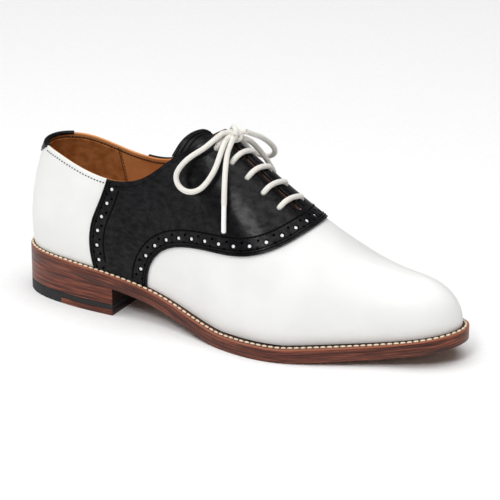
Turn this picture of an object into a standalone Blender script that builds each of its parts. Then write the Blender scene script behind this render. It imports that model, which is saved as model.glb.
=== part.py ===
"""Saddle oxford for the right foot: a laced leather dress shoe, built from the sole up.

Lengths are in metres. A station is a distance along the sole from the back of the heel to the toe.
The lateral side of the shoe faces -Y and the medial side faces +Y.
"""

import math
from typing import NamedTuple

import bmesh
import bpy
import numpy as np
from mathutils import Matrix, Vector

# Driving dimensions
LENGTH = 0.300  # outsole, heel to toe
TOE_SWING = 0.006  # how far the toe leans to the medial side of the heel's own line
GAP = 0.0003  # between pieces that touch on the real shoe
OUTSOLE_THICK = 0.0054
WELT_THICK = 0.0031
WELT_WIDTH = 0.012
INSOLE_THICK = 0.0026
WALL = 0.0022  # upper leather and lining together
SADDLE_THICK = 0.0012
TONGUE_THICK = 0.0020
HEEL_BREAST = 0.076  # station of the heel's front face
HEEL_LIFTS = 3
TOP_PIECE_THICK = 0.0072
TOP_INSERT_THICK = 0.0036  # leather let into the front of the rubber top piece
TOP_INSERT_START = 0.036
LACE_RADIUS = 0.0017
EYELET_RADIUS = 0.0022
EYELET_ROWS = 5
EYELET_FIRST = 0.139  # station of the top pair
EYELET_STEP = 0.011
EYELET_REACH = 0.0115  # from the ridge, in plan
EYELET_SKEW = 0.003  # the medial eyelets sit this much nearer the toe
FACING_TOP = 0.137  # station where the collar meets the lacing gap
THROAT = 0.192  # station where the lacing gap ends
FACING_GAP = 0.0026  # half the width of the lacing gap
LATERAL, MEDIAL = -1, 1

# Roundness of the plan at its two ends
HEEL_ROUND = 0.0690
TOE_ROUND = 0.0530
RIDGE_STOP = 0.288  # the ribs of the toe beyond this station all meet in one point


class Plan(NamedTuple):
    """Half-widths of the outsole at one station, from the swing line, and how far the welt stands out."""

    station: float
    lateral: float
    medial: float
    margin: float


SOLE_PLAN = (
    Plan(0.012, 0.0222, 0.0222, 0.0026),
    Plan(0.035, 0.0306, 0.0310, 0.0030),
    Plan(0.075, 0.0341, 0.0330, 0.0036),
    Plan(0.110, 0.0358, 0.0308, 0.0044),
    Plan(0.150, 0.0469, 0.0382, 0.0056),
    Plan(0.190, 0.0543, 0.0490, 0.0066),
    Plan(0.225, 0.0455, 0.0490, 0.0064),
    Plan(0.260, 0.0308, 0.0352, 0.0056),
    Plan(0.285, 0.0214, 0.0222, 0.0050),
)


class Profile(NamedTuple):
    """Height of the outsole's underside over the floor at one station; below zero is pressed flat."""

    station: float
    height: float


SOLE_PROFILE = (
    Profile(0.000, 0.0219),
    Profile(0.062, 0.0197),
    Profile(0.110, 0.0113),
    Profile(0.150, 0.0012),
    Profile(0.190, -0.0008),
    Profile(0.220, 0.0018),
    Profile(0.260, 0.0055),
    Profile(0.300, 0.0132),
)


class Rib(NamedTuple):
    """One section of the last: where its ridge is, and how its wall and crown are drawn."""

    station: float
    ridge_x: float
    ridge_y: float
    ridge_z: float
    wall: float  # share of the height over which the wall stands up
    flare: float  # how far the wall swells over the feather line
    crown: float  # share of the half-width over which the top is rounded


LAST = (
    Rib(0.000, 0.050, 0.0000, 0.1370, 0.42, 0.0058, 0.63),
    Rib(0.035, 0.064, 0.0000, 0.1410, 0.37, 0.0054, 0.60),
    Rib(0.075, 0.086, 0.0000, 0.1410, 0.35, 0.0046, 0.54),
    Rib(0.110, 0.113, -0.0010, 0.1365, 0.36, 0.0046, 0.70),
    Rib(0.150, 0.150, -0.0020, 0.1108, 0.36, 0.0050, 0.82),
    Rib(0.200, 0.200, -0.0022, 0.0752, 0.40, 0.0050, 0.70),
    Rib(0.235, 0.232, 0.0015, 0.0576, 0.45, 0.0046, 0.62),
    Rib(0.270, 0.257, 0.0045, 0.0512, 0.50, 0.0036, 0.58),
    Rib(0.300, 0.2668, 0.0054, 0.0496, 0.54, 0.0022, 0.56),
)


class Collar(NamedTuple):
    """Height of the topline over the floor at one station."""

    station: float
    height: float


COLLAR = (
    Collar(0.000, 0.0992),
    Collar(0.020, 0.0970),
    Collar(0.045, 0.0908),
    Collar(0.070, 0.0870),
    Collar(0.084, 0.0882),
    Collar(0.095, 0.0926),
    Collar(0.105, 0.1000),
    Collar(0.114, 0.1074),
    Collar(0.124, 0.1140),
    Collar(0.136, 0.1212),
)


class Outline(NamedTuple):
    """A point on the edge of a panel, seen from the side of the shoe."""

    x: float
    z: float


SADDLE_REAR = (
    Outline(0.0740, 0.1040),
    Outline(0.0700, 0.0890),
    Outline(0.0655, 0.0740),
    Outline(0.0605, 0.0600),
    Outline(0.0590, 0.0470),
    Outline(0.0602, 0.0350),
    Outline(0.0640, 0.0200),
)
SADDLE_FRONT = (
    Outline(0.0995, 0.0140),
    Outline(0.1002, 0.0280),
    Outline(0.1035, 0.0400),
    Outline(0.1130, 0.0505),
    Outline(0.1290, 0.0565),
    Outline(0.1500, 0.0588),
    Outline(0.1720, 0.0603),
    Outline(0.1860, 0.0640),
    Outline(0.1960, 0.0688),
    Outline(0.2035, 0.0738),
    Outline(0.2110, 0.0795),
)


class Tab(NamedTuple):
    """Half-width of the heel tab at one height, seen from behind."""

    height: float
    half_width: float


HEEL_TAB = (
    Tab(0.1080, 0.0166),
    Tab(0.0985, 0.0160),
    Tab(0.0960, 0.0145),
    Tab(0.0935, 0.0115),
    Tab(0.0912, 0.0075),
    Tab(0.0895, 0.0030),
    Tab(0.0880, 0.0006),
)


class Flap(NamedTuple):
    """The tongue at one station under the facings: its reach each side of the ridge, and the air over it."""

    station: float
    lateral: float
    medial: float
    air: float


TONGUE = (
    Flap(0.214, 0.0150, 0.0150, 0.0000),
    Flap(0.192, 0.0180, 0.0165, 0.0001),
    Flap(0.168, 0.0195, 0.0165, 0.0003),
    Flap(0.150, 0.0190, 0.0155, 0.0008),
    Flap(0.140, 0.0180, 0.0145, 0.0022),
)

# The tongue's free top edge, hand-laid in shoe coordinates; it has slid to the lateral side
TONGUE_TIP = (
    (0.1116, -0.0172, 0.1076),
    (0.1136, -0.0100, 0.1146),
    (0.1152, 0.0000, 0.1176),
    (0.1172, 0.0055, 0.1182),
    (0.1196, 0.0095, 0.1176),
    (0.1216, 0.0115, 0.1158),
)

# Routes of the bow, hand-laid in shoe coordinates
KNOT_CENTRE = (0.1457, -0.0022, 0.1232)
KNOT_RADII = (0.0062, 0.0056, 0.0048)
STUB_ENDS = {"near": (0.1412, -0.0074, 0.1212), "far": (0.1442, 0.0033, 0.1201)}
BOW = {
    "lace_loop_near": (
        (0.1420, -0.0092, 0.1243),
        (0.1405, -0.0174, 0.1221),
        (0.1364, -0.0226, 0.1178),
        (0.1300, -0.0272, 0.1129),
        (0.1252, -0.0310, 0.1073),
        (0.1229, -0.0332, 0.1010),
        (0.1256, -0.0345, 0.0955),
        (0.1328, -0.0352, 0.0932),
        (0.1402, -0.0346, 0.0962),
        (0.1451, -0.0318, 0.1026),
        (0.1473, -0.0274, 0.1094),
        (0.1472, -0.0218, 0.1155),
        (0.1466, -0.0170, 0.1191),
        (0.1456, -0.0124, 0.1208),
    ),
    "lace_end_near": (
        (0.1481, -0.0086, 0.1198),
        (0.1487, -0.0134, 0.1173),
        (0.1505, -0.0196, 0.1138),
        (0.1535, -0.0274, 0.1065),
        (0.1570, -0.0352, 0.0938),
        (0.1596, -0.0408, 0.0732),
    ),
    "lace_loop_far": (
        (0.1523, 0.0016, 0.1238),
        (0.1544, 0.0090, 0.1200),
        (0.1552, 0.0200, 0.1142),
        (0.1562, 0.0302, 0.1062),
        (0.1530, 0.0378, 0.0986),
        (0.1460, 0.0408, 0.0950),
        (0.1395, 0.0362, 0.0980),
        (0.1380, 0.0272, 0.1062),
        (0.1388, 0.0172, 0.1142),
        (0.1394, 0.0090, 0.1198),
        (0.1406, 0.0036, 0.1224),
    ),
    "lace_end_far": (
        (0.1495, 0.0018, 0.1193),
        (0.1500, 0.0090, 0.1158),
        (0.1512, 0.0170, 0.1095),
        (0.1540, 0.0255, 0.0990),
        (0.1562, 0.0335, 0.0860),
        (0.1578, 0.0390, 0.0730),
    ),
}

# Mesh density
REAR_COLUMNS = 22
FACING_COLUMNS = 8
TOE_COLUMNS = 17
RIB_ROWS = 11
HEEL_COLUMNS = 16
PANEL_POINTS = 12
TONGUE_ROWS = 13
TONGUE_COLUMNS = 9
CROSSING_POINTS = 9
EYELET_SIDES = 10
KNOT_MERIDIANS, KNOT_RINGS = 12, 8
CORD_STEP = 0.0068  # two lace diameters
FINE_POINTS = 60  # to measure a lace's length
SHARES = [i / 240 for i in range(241)]  # fine steps along a rib
OVER_ALL = 0.2  # past the whole shoe, for cutters
PUNCH_REACH = 0.008  # how far an eyelet punch goes past the last, each way
TAB_DEPTH = 0.03  # how far forward the heel tab's cutter goes


def column(table, name):
    return [getattr(row, name) for row in table]


def spline(xs, ys):
    """A natural cubic curve through the rows of a table."""
    xs, ys = np.array(xs, float), np.array(ys, float)
    count, step = len(xs), np.diff(xs)
    system, right = np.eye(count), np.zeros(count)
    for i in range(1, count - 1):
        system[i, i - 1 : i + 2] = step[i - 1], 2 * (step[i - 1] + step[i]), step[i]
        right[i] = 6 * ((ys[i + 1] - ys[i]) / step[i] - (ys[i] - ys[i - 1]) / step[i - 1])
    bend = np.linalg.solve(system, right)

    def at(x):
        i = int(np.clip(np.searchsorted(xs, x) - 1, 0, count - 2))
        before, after, h = xs[i + 1] - x, x - xs[i], step[i]
        curved = (bend[i] * before**3 + bend[i + 1] * after**3) / (6 * h)
        straight = (ys[i] / h - bend[i] * h / 6) * before + (ys[i + 1] / h - bend[i + 1] * h / 6) * after
        return float(curved + straight)

    return at


def turn_at(station):
    """The angle round the plan, 0 at the heel and pi at the toe, of a station on the sole's edge."""
    return math.acos(max(-1.0, min(1.0, 1 - 2 * station / LENGTH)))


def by_turn(table, name):
    return spline([turn_at(row.station) for row in table], column(table, name))


def half_width(name):
    inner = [getattr(row, name) / math.sin(turn_at(row.station)) for row in SOLE_PLAN]
    turns = [turn_at(row.station) for row in SOLE_PLAN]
    return spline([0.0, *turns, math.pi], [HEEL_ROUND, *inner, TOE_ROUND])


HALF_WIDTH = {LATERAL: half_width("lateral"), MEDIAL: half_width("medial")}
MARGIN = by_turn(SOLE_PLAN, "margin")
UNDERSIDE = spline(column(SOLE_PROFILE, "station"), column(SOLE_PROFILE, "height"))
RIB = {name: by_turn(LAST, name) for name in Rib._fields[1:]}
TOPLINE = spline(column(COLLAR, "station"), column(COLLAR, "height"))


def swing(x):
    return TOE_SWING * (x / LENGTH) ** 2


def sole_edge(turn, side):
    x = LENGTH / 2 * (1 - math.cos(turn))
    return Vector((x, swing(x) + side * math.sin(turn) * HALF_WIDTH[side](turn)))


def outward(turn, side):
    """Unit vector in plan, square to the sole's edge and pointing away from the shoe."""
    small = 1e-4
    if turn < small or turn > math.pi - small:
        return Vector((-1.0 if turn < 1 else 1.0, 0.0))
    along = sole_edge(turn + small, side) - sole_edge(turn - small, side)
    normal = Vector((along.y, -along.x)).normalized()
    return normal if normal.y * side > 0 or abs(normal.y) < 1e-3 else -normal


def inset_edge(turn, side, inset):
    return sole_edge(turn, side) - inset * outward(turn, side)


def feather(turn, side):
    return inset_edge(turn, side, MARGIN(turn))


def flush(turn):
    """The inset of a plate that is cut to the sole's own edge."""
    return 0.0


def level(height):
    """A flat surface, as the heights of plates and strips are given."""

    def at(x):
        return height

    return at


def raised(surface, by):
    """A surface moved straight up."""

    def at(x):
        return surface(x) + by

    return at


def sole_z(x):
    return max(0.0, UNDERSIDE(x))


def outsole_top(x):
    return sole_z(x) + OUTSOLE_THICK


def welt_top(x):
    return outsole_top(x) + GAP + WELT_THICK


def inside_upper(turn):
    """The inset of a plate that fits inside the upper's wall."""
    return MARGIN(turn) + WALL + 2 * GAP


def rib_points(turn, side):
    """The four control points of one rib of the last, from the feather line up to the ridge."""
    foot = feather(turn, side)
    low = Vector((foot.x, foot.y, welt_top(foot.x) + GAP))
    crest = min(turn, turn_at(RIDGE_STOP))
    top = Vector([RIB[name](crest) for name in ("ridge_x", "ridge_y", "ridge_z")])
    run = Vector((low.x - top.x, low.y - top.y, 0.0))
    swell = outward(turn, side).to_3d() * RIB["flare"](turn)
    stand = Vector((0.0, 0.0, RIB["wall"](turn) * (top.z - low.z)))
    return low, low + swell + stand, top + RIB["crown"](turn) * run, top


def rib_at(points, share):
    a, b, c, d = points
    rest = 1 - share
    return rest**3 * a + 3 * rest**2 * share * b + 3 * rest * share**2 * c + share**3 * d


def rib_end(turn, side):
    """How far up its rib the upper goes: to the topline, to the lacing gap, or to the ridge."""
    points = rib_points(turn, side)
    places = [rib_at(points, share) for share in SHARES]
    station = LENGTH / 2 * (1 - math.cos(turn))
    if station >= THROAT:
        return 1.0
    reach = [-(p.xy - points[3].xy).length for p in places]
    end = float(np.interp(-FACING_GAP, reach, SHARES))
    if station < FACING_TOP:
        end = min(end, float(np.interp(TOPLINE(station), [p.z for p in places], SHARES)))
    return end


def turns_round():
    """The ribs' angles from heel to toe, with one exactly at each end of the lacing gap."""
    top, throat = turn_at(FACING_TOP), turn_at(THROAT)
    rear = np.linspace(0.0, top, REAR_COLUMNS, endpoint=False)
    middle = np.linspace(top, throat, FACING_COLUMNS, endpoint=False)
    front = np.linspace(throat, math.pi, TOE_COLUMNS + 1)
    return [float(t) for t in (*rear, *middle, *front)]


def skin_point(turn, side, share, lift=0.0):
    """A point on the last, moved out square to it by lift."""
    small = 1e-4
    here = rib_at(rib_points(turn, side), share)
    if lift == 0.0:
        return here
    below = rib_at(rib_points(turn, side), share - small)
    along = rib_at(rib_points(turn + small, side), share) - rib_at(rib_points(turn - small, side), share)
    normal = along.cross(here - below).normalized()
    return here - side * lift * normal


def off_ridge(station, reach, lift):
    """A point on the last at a signed distance in plan from the ridge, to the lateral side below zero."""
    turn, side = turn_at(station), MEDIAL if reach > 0 else LATERAL
    points = rib_points(turn, side)
    gaps = [-(rib_at(points, share).xy - points[3].xy).length for share in SHARES]
    return skin_point(turn, side, float(np.interp(-abs(reach), gaps, SHARES)), lift)


def upper_wall(inner, outer):
    """The upper as a closed wall between two distances from the last, open at the collar and the lacing gap.

    Ribs stand side by side from the heel round to the toe and back; their feet are square to the welt.
    """
    turns = turns_round()
    loop = [(t, LATERAL) for t in turns] + [(t, MEDIAL) for t in turns[-2:0:-1]]
    wall = bmesh.new()
    ribs = []
    for turn, side in loop:
        points, end = rib_points(turn, side), rib_end(turn, side)
        ribs.append([wall.verts.new(rib_at(points, end * j / RIB_ROWS)) for j in range(RIB_ROWS + 1)])
    for here, there in zip(ribs, ribs[1:] + ribs[:1]):
        for j in range(RIB_ROWS):
            wall.faces.new((here[j], there[j], there[j + 1], here[j + 1]))
    feet = [rib[0] for rib in ribs]
    bmesh.ops.remove_doubles(wall, verts=wall.verts, dist=1e-6)
    bmesh.ops.triangulate(wall, faces=wall.faces)
    bmesh.ops.recalc_face_normals(wall, faces=wall.faces)
    wall.normal_update()
    normals = {vert: vert.normal.copy() for vert in wall.verts}
    for foot, (turn, side) in zip(feet, loop):
        normals[foot] = outward(turn, side).to_3d()
    sheet, rim = list(wall.faces), [edge for edge in wall.edges if edge.is_boundary]
    twins = {vert: wall.verts.new(vert.co + inner * normal) for vert, normal in normals.items()}
    for face in sheet:
        wall.faces.new([twins[vert] for vert in reversed(face.verts)])
    for edge in rim:
        start, stop = edge.verts
        wall.faces.new((start, stop, twins[stop], twins[start]))
    for vert, normal in normals.items():
        vert.co += outer * normal
    bmesh.ops.recalc_face_normals(wall, faces=wall.faces)
    return wall


def slab(inset, low, high, stop=LENGTH):
    """A plate with the sole's outline, drawn in by inset(turn), between two heights along the shoe."""
    turns = turns_round()
    if stop < LENGTH:
        turns = [float(t) for t in np.linspace(0.0, turn_at(stop), HEEL_COLUMNS)]
    loop = [(t, LATERAL) for t in turns]
    loop += [(t, MEDIAL) for t in reversed(turns) if 0.0 < t < math.pi - 1e-9]
    plate = bmesh.new()
    edge = [inset_edge(turn, side, inset(turn)) for turn, side in loop]
    bottom = [plate.verts.new((p.x, p.y, low(p.x))) for p in edge]
    top = [plate.verts.new((p.x, p.y, high(p.x))) for p in edge]
    count = len(loop)
    for i in range(count):
        j = (i + 1) % count
        plate.faces.new((bottom[i], bottom[j], top[j], top[i]))
    for face, order in ((bottom, -1), (top, 1)):
        for i in range(count // 2):
            corners = dict.fromkeys((face[i], face[i + 1], face[-i - 1], face[-i] if i else face[0]))
            if len(corners) > 2:
                plate.faces.new(list(corners)[::order])
    bmesh.ops.recalc_face_normals(plate, faces=plate.faces)
    return plate


def ring(width, low, high):
    """A strip of the given width that follows the sole's edge all the way round."""
    turns = turns_round()
    loop = [(t, LATERAL) for t in turns] + [(t, MEDIAL) for t in turns[-2:0:-1]]
    strip = bmesh.new()
    sections = []
    for turn, side in loop:
        outer, inner = sole_edge(turn, side), inset_edge(turn, side, width)
        corners = ((outer, low), (outer, high), (inner, high), (inner, low))
        sections.append([strip.verts.new((p.x, p.y, z(p.x))) for p, z in corners])
    for here, there in zip(sections, sections[1:] + sections[:1]):
        for k in range(4):
            strip.faces.new((here[k], there[k], there[k - 3], here[k - 3]))
    bmesh.ops.recalc_face_normals(strip, faces=strip.faces)
    return strip


def curve_through(rows, count):
    """Evenly spaced points on one smooth curve through a list of points."""
    rows = [Vector(row) for row in rows]
    runs = [0.0]
    for here, there in zip(rows, rows[1:]):
        runs.append(runs[-1] + (there - here).length)
    axes = [spline(runs, [row[k] for row in rows]) for k in range(len(rows[0]))]
    return [Vector([axis(float(run)) for axis in axes]) for run in np.linspace(0.0, runs[-1], count)]


def prism(outline, axis, start, stop):
    """A flat outline drawn out along one axis, as a cutter; the outline lists the other two coordinates."""
    body = bmesh.new()
    slot = "xyz".index(axis)
    places = [(*pair[:slot], start, *pair[slot:]) for pair in outline]
    face = body.faces.new([body.verts.new(place) for place in places])
    drawn = bmesh.ops.extrude_face_region(body, geom=[face])
    moved = [g for g in drawn["geom"] if isinstance(g, bmesh.types.BMVert)]
    along = Vector()
    along[slot] = stop - start
    bmesh.ops.translate(body, verts=moved, vec=along)
    bmesh.ops.recalc_face_normals(body, faces=body.faces)
    return body


def front_block(start, height):
    """All the space ahead of one station, from under the floor up to a height."""
    corners = [(start, -OVER_ALL), (OVER_ALL, -OVER_ALL), (OVER_ALL, height), (start, height)]
    return prism(corners, "y", -OVER_ALL, OVER_ALL)


def saddle_outline():
    rear = [(p.x, p.y) for p in curve_through([(row.x, row.z) for row in SADDLE_REAR], PANEL_POINTS)]
    front = [(p.x, p.y) for p in curve_through([(row.x, row.z) for row in SADDLE_FRONT], 2 * PANEL_POINTS)]
    return [*rear, *front, (front[-1][0], OVER_ALL), (rear[0][0], OVER_ALL)]


def tab_outline():
    rows = [(row.half_width, row.height) for row in HEEL_TAB]
    side = [(p.x, p.y) for p in curve_through(rows, PANEL_POINTS)]
    return [*side, *[(-y, z) for y, z in reversed(side)]]


def eyelet_rows():
    return [EYELET_FIRST + EYELET_STEP * row for row in range(EYELET_ROWS)]


def on_facing(station, reach, lift):
    """A point over the facings in a row of eyelets, which runs a little forward from the lateral side."""
    return off_ridge(station + EYELET_SKEW * (reach / EYELET_REACH + 1) / 2, reach, lift)


def eyelet_punches():
    """Ten short pins, square to the facings, that cut the eyelets."""
    pins = bmesh.new()
    for station in eyelet_rows():
        for reach in (-EYELET_REACH, EYELET_REACH):
            inner, outer = on_facing(station, reach, -PUNCH_REACH), on_facing(station, reach, PUNCH_REACH)
            turn = (outer - inner).to_track_quat("Z", "Y").to_matrix().to_4x4()
            bmesh.ops.create_cone(
                pins, cap_ends=True, segments=EYELET_SIDES, radius1=EYELET_RADIUS, radius2=EYELET_RADIUS,
                depth=(outer - inner).length, matrix=Matrix.Translation((inner + outer) / 2) @ turn,
            )
    return pins


def tongue_skin():
    """The tongue's outer face: it lies under the facings and runs out to its free top edge."""
    tip = curve_through(TONGUE_TIP, TONGUE_COLUMNS)
    middle = TONGUE_COLUMNS // 2
    sheet = bmesh.new()
    strips = []
    for j, edge in enumerate(tip):
        share = j / middle - 1
        reaches = [share * (row.medial if share > 0 else row.lateral) for row in TONGUE]
        under = [off_ridge(row.station, reach, -WALL - GAP - row.air) for row, reach in zip(TONGUE, reaches)]
        strips.append([sheet.verts.new(place) for place in curve_through([*under, edge], TONGUE_ROWS)])
    for here, there in zip(strips, strips[1:]):
        for i in range(TONGUE_ROWS - 1):
            sheet.faces.new((here[i], there[i], there[i + 1], here[i + 1]))
    sheet.normal_update()
    if sum(face.normal.z for face in sheet.faces) < 0:
        bmesh.ops.reverse_faces(sheet, faces=sheet.faces)
    return sheet


def crossing_route(station):
    """Where the lace runs over the facings, from one eyelet over the ridge to the other."""
    lift = GAP + SADDLE_THICK + GAP + LACE_RADIUS
    reaches = np.linspace(-EYELET_REACH, EYELET_REACH, CROSSING_POINTS)
    return [on_facing(station, float(reach), lift) for reach in reaches]


def stub_route(name, side):
    """From a top eyelet up to the knot."""
    lift = GAP + SADDLE_THICK + GAP + LACE_RADIUS
    eyelet = on_facing(EYELET_FIRST, side * EYELET_REACH, lift)
    return [eyelet, eyelet.lerp(Vector(STUB_ENDS[name]), 0.5), Vector(STUB_ENDS[name])]


def material(name, colour, roughness, metallic=0.0):
    made = bpy.data.materials.new(name)
    made.use_nodes = True
    shader = made.node_tree.nodes["Principled BSDF"]
    shader.inputs["Base Color"].default_value = (*colour, 1.0)
    shader.inputs["Roughness"].default_value = roughness
    shader.inputs["Metallic"].default_value = metallic
    return made


def solid(name, shape, finish, shoe):
    """Turns a bmesh into a named, smooth-shaded object of the shoe."""
    mesh = bpy.data.meshes.new(name)
    shape.to_mesh(mesh)
    shape.free()
    mesh.shade_smooth()
    mesh.set_sharp_from_angle(angle=math.radians(40))
    obj = bpy.data.objects.new(name, mesh)
    obj.data.materials.append(finish)
    obj.parent = shoe
    bpy.context.scene.collection.objects.link(obj)
    return obj


def thicken(obj, thickness, offset):
    wall = obj.modifiers.new("wall", "SOLIDIFY")
    wall.thickness = thickness
    wall.offset = offset
    wall.use_even_offset = False
    return wall


def cut(obj, cutter, operation):
    """Cuts one object by another, which is then only a guide."""
    cutter.hide_render = True
    cutter.display_type = "WIRE"
    step = obj.modifiers.new(cutter.name, "BOOLEAN")
    step.operation = operation
    step.object = cutter


def cord(name, route, finish, shoe):
    """A lace along a route of points, as a round tube with closed ends."""
    curve = bpy.data.curves.new(name, "CURVE")
    curve.dimensions = "3D"
    curve.bevel_depth = LACE_RADIUS
    curve.bevel_resolution = 2
    curve.use_fill_caps = True
    line = curve.splines.new("POLY")
    line.points.add(len(route) - 1)
    for point, place in zip(line.points, route):
        point.co = (*place, 1.0)
    obj = bpy.data.objects.new(name, curve)
    obj.data.materials.append(finish)
    obj.parent = shoe
    bpy.context.scene.collection.objects.link(obj)
    return obj


def length_of(route):
    return sum((there - here).length for here, there in zip(route, route[1:]))


def build_sole(shoe):
    leather = material("sole_leather", (0.20, 0.060, 0.028), 0.42)
    tan = material("welt_leather", (0.46, 0.26, 0.13), 0.50)
    board = material("insole_leather", (0.42, 0.22, 0.10), 0.55)
    solid("outsole", slab(flush, sole_z, outsole_top), leather, shoe)
    solid("welt", ring(WELT_WIDTH, raised(outsole_top, GAP), welt_top), tan, shoe)
    floor = raised(welt_top, GAP)
    solid("insole", slab(inside_upper, floor, raised(floor, INSOLE_THICK)), board, shoe)


def build_heel(shoe):
    leather = material("heel_leather", (0.20, 0.060, 0.028), 0.42)
    rubber = material("top_piece_rubber", (0.018, 0.018, 0.018), 0.60)
    step = (sole_z(HEEL_BREAST) - TOP_PIECE_THICK) / HEEL_LIFTS
    bases = [TOP_PIECE_THICK + GAP + step * i for i in range(HEEL_LIFTS)]
    tops = [level(base - GAP) for base in bases[1:]] + [raised(sole_z, -GAP)]
    for i, (base, top) in enumerate(zip(bases, tops), 1):
        solid(f"heel_lift_{i}", slab(flush, level(base), top, HEEL_BREAST), leather, shoe)
    floor = level(0.0)
    piece = solid("heel_top_piece", slab(flush, floor, level(TOP_PIECE_THICK), HEEL_BREAST), rubber, shoe)
    insert = slab(flush, floor, level(TOP_INSERT_THICK), HEEL_BREAST)
    insert = solid("heel_top_insert", insert, leather, shoe)
    room = front_block(TOP_INSERT_START, TOP_INSERT_THICK + GAP)
    cut(piece, solid("insert_room", room, rubber, shoe), "DIFFERENCE")
    keep = front_block(TOP_INSERT_START + GAP, OVER_ALL)
    cut(insert, solid("insert_keep", keep, leather, shoe), "INTERSECT")


def build_upper(shoe):
    white = material("white_leather", (0.80, 0.79, 0.77), 0.35)
    black = material("black_leather", (0.016, 0.016, 0.018), 0.38)
    punches = solid("eyelet_punches", eyelet_punches(), black, shoe)
    upper = solid("upper", upper_wall(-WALL, 0.0), white, shoe)
    cut(upper, punches, "DIFFERENCE")
    saddle = solid("saddle", upper_wall(GAP, GAP + SADDLE_THICK), black, shoe)
    side_view = solid("saddle_outline", prism(saddle_outline(), "y", -OVER_ALL, OVER_ALL), black, shoe)
    cut(saddle, side_view, "INTERSECT")
    cut(saddle, punches, "DIFFERENCE")
    tab = solid("heel_tab", upper_wall(GAP, GAP + SADDLE_THICK), black, shoe)
    back_view = solid("tab_outline", prism(tab_outline(), "x", -TAB_DEPTH, TAB_DEPTH), black, shoe)
    cut(tab, back_view, "INTERSECT")
    tongue = solid("tongue", tongue_skin(), black, shoe)
    thicken(tongue, TONGUE_THICK, -1.0)


def build_laces(shoe):
    cotton = material("lace_cotton", (0.78, 0.76, 0.71), 0.80)
    for row, station in enumerate(eyelet_rows()[1:], 1):
        cord(f"lace_crossing_{row}", crossing_route(station), cotton, shoe)
    for name, side in (("near", LATERAL), ("far", MEDIAL)):
        cord(f"lace_stub_{name}", stub_route(name, side), cotton, shoe)
    for name, rows in BOW.items():
        length = length_of(curve_through(rows, FINE_POINTS))
        cord(name, curve_through(rows, round(length / CORD_STEP) + 1), cotton, shoe)
    knot = bmesh.new()
    bmesh.ops.create_uvsphere(knot, u_segments=KNOT_MERIDIANS, v_segments=KNOT_RINGS, radius=1.0)
    bmesh.ops.transform(knot, matrix=Matrix.LocRotScale(KNOT_CENTRE, None, KNOT_RADII), verts=knot.verts)
    solid("lace_knot", knot, cotton, shoe)


def main():
    for obj in list(bpy.data.objects):
        bpy.data.objects.remove(obj)
    shoe = bpy.data.objects.new("shoe", None)
    bpy.context.scene.collection.objects.link(shoe)
    edge = [sole_edge(turn, side).y for turn in turns_round() for side in HALF_WIDTH]
    shoe.location = (-LENGTH / 2, -(min(edge) + max(edge)) / 2, 0.0)
    build_sole(shoe)
    build_heel(shoe)
    build_upper(shoe)
    build_laces(shoe)


main()
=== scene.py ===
"""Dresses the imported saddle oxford: leathers, punching, stitches, welt, stacked heel, lining and laces.

Lengths are in metres unless a name says mm. Pieces are modelled in the shoe's own coordinates, with the
origin on the floor under the back of the heel, +X to the toe and -Y to the lateral side, and are moved into
the part's frame when they are finished.
"""

from __future__ import annotations

import logging
import math
from dataclasses import dataclass, field
from enum import Enum
from functools import cached_property, lru_cache, partial
from itertools import accumulate
from typing import Callable, Sequence

import bmesh
import bpy
import numpy as np
from mathutils import Matrix, Vector
from mathutils.bvhtree import BVHTree

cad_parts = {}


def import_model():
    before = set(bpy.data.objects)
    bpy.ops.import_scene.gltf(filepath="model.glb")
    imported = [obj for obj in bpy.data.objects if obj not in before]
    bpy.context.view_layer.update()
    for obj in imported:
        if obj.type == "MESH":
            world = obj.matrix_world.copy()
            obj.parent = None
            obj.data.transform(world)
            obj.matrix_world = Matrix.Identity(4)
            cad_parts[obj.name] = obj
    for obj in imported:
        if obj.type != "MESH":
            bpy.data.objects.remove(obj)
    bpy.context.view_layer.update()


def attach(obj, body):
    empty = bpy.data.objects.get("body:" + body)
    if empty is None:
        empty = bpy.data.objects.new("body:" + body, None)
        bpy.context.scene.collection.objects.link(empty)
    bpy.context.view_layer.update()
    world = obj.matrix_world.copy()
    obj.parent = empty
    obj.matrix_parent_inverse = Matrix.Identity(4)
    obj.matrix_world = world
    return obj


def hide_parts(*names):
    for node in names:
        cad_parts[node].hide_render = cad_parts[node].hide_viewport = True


LOG = logging.getLogger("saddle_oxford")
SHOE_ORIGIN = Vector((-0.150, -0.000814, 0.0))  # the back of the heel, in the part's frame
GAP = 0.0003  # between pieces that touch
TINY = 1e-6
FAR = 0.2  # outside the shoe on every side
SLOPE_STEP = 1e-4  # a small step of angle or share, to find a slope
SHARP_ANGLE = math.radians(38)  # edges that are sharper than this are not shaded over
ROUNDED_ANGLE = math.radians(50)  # edges that are sharper than this are rounded
MM = 1000.0  # to the metre; a texture's scale is in cells to the metre
STRIP_STEP = 0.0008  # along a narrow strip
WAVE_PERIOD = 0.314  # of a wave texture at a scale of one
UP = Vector((0.0, 0.0, 1.0))

Shape = bmesh.types.BMesh
Piece = bpy.types.Object
Material = bpy.types.Material
Socket = bpy.types.NodeSocket
Pair = tuple[float, float]
Triple = tuple[float, float, float]
Curve = Callable[[float], float]

# Outsole in plan: station, lateral and medial half-width from the swing line, welt margin
SOLE_PLAN = (
    (0.012, 0.0222, 0.0222, 0.0026),
    (0.035, 0.0306, 0.0310, 0.0030),
    (0.075, 0.0341, 0.0330, 0.0036),
    (0.110, 0.0358, 0.0308, 0.0044),
    (0.150, 0.0469, 0.0382, 0.0056),
    (0.190, 0.0543, 0.0490, 0.0066),
    (0.225, 0.0455, 0.0490, 0.0064),
    (0.260, 0.0308, 0.0352, 0.0056),
    (0.285, 0.0214, 0.0222, 0.0050),
)
# Outsole from the side: station, height of its underside
SOLE_PROFILE = (
    (0.000, 0.0219), (0.062, 0.0197), (0.110, 0.0113), (0.150, 0.0012), (0.190, -0.0008),
    (0.220, 0.0018), (0.260, 0.0055), (0.300, 0.0132),
)
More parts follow.
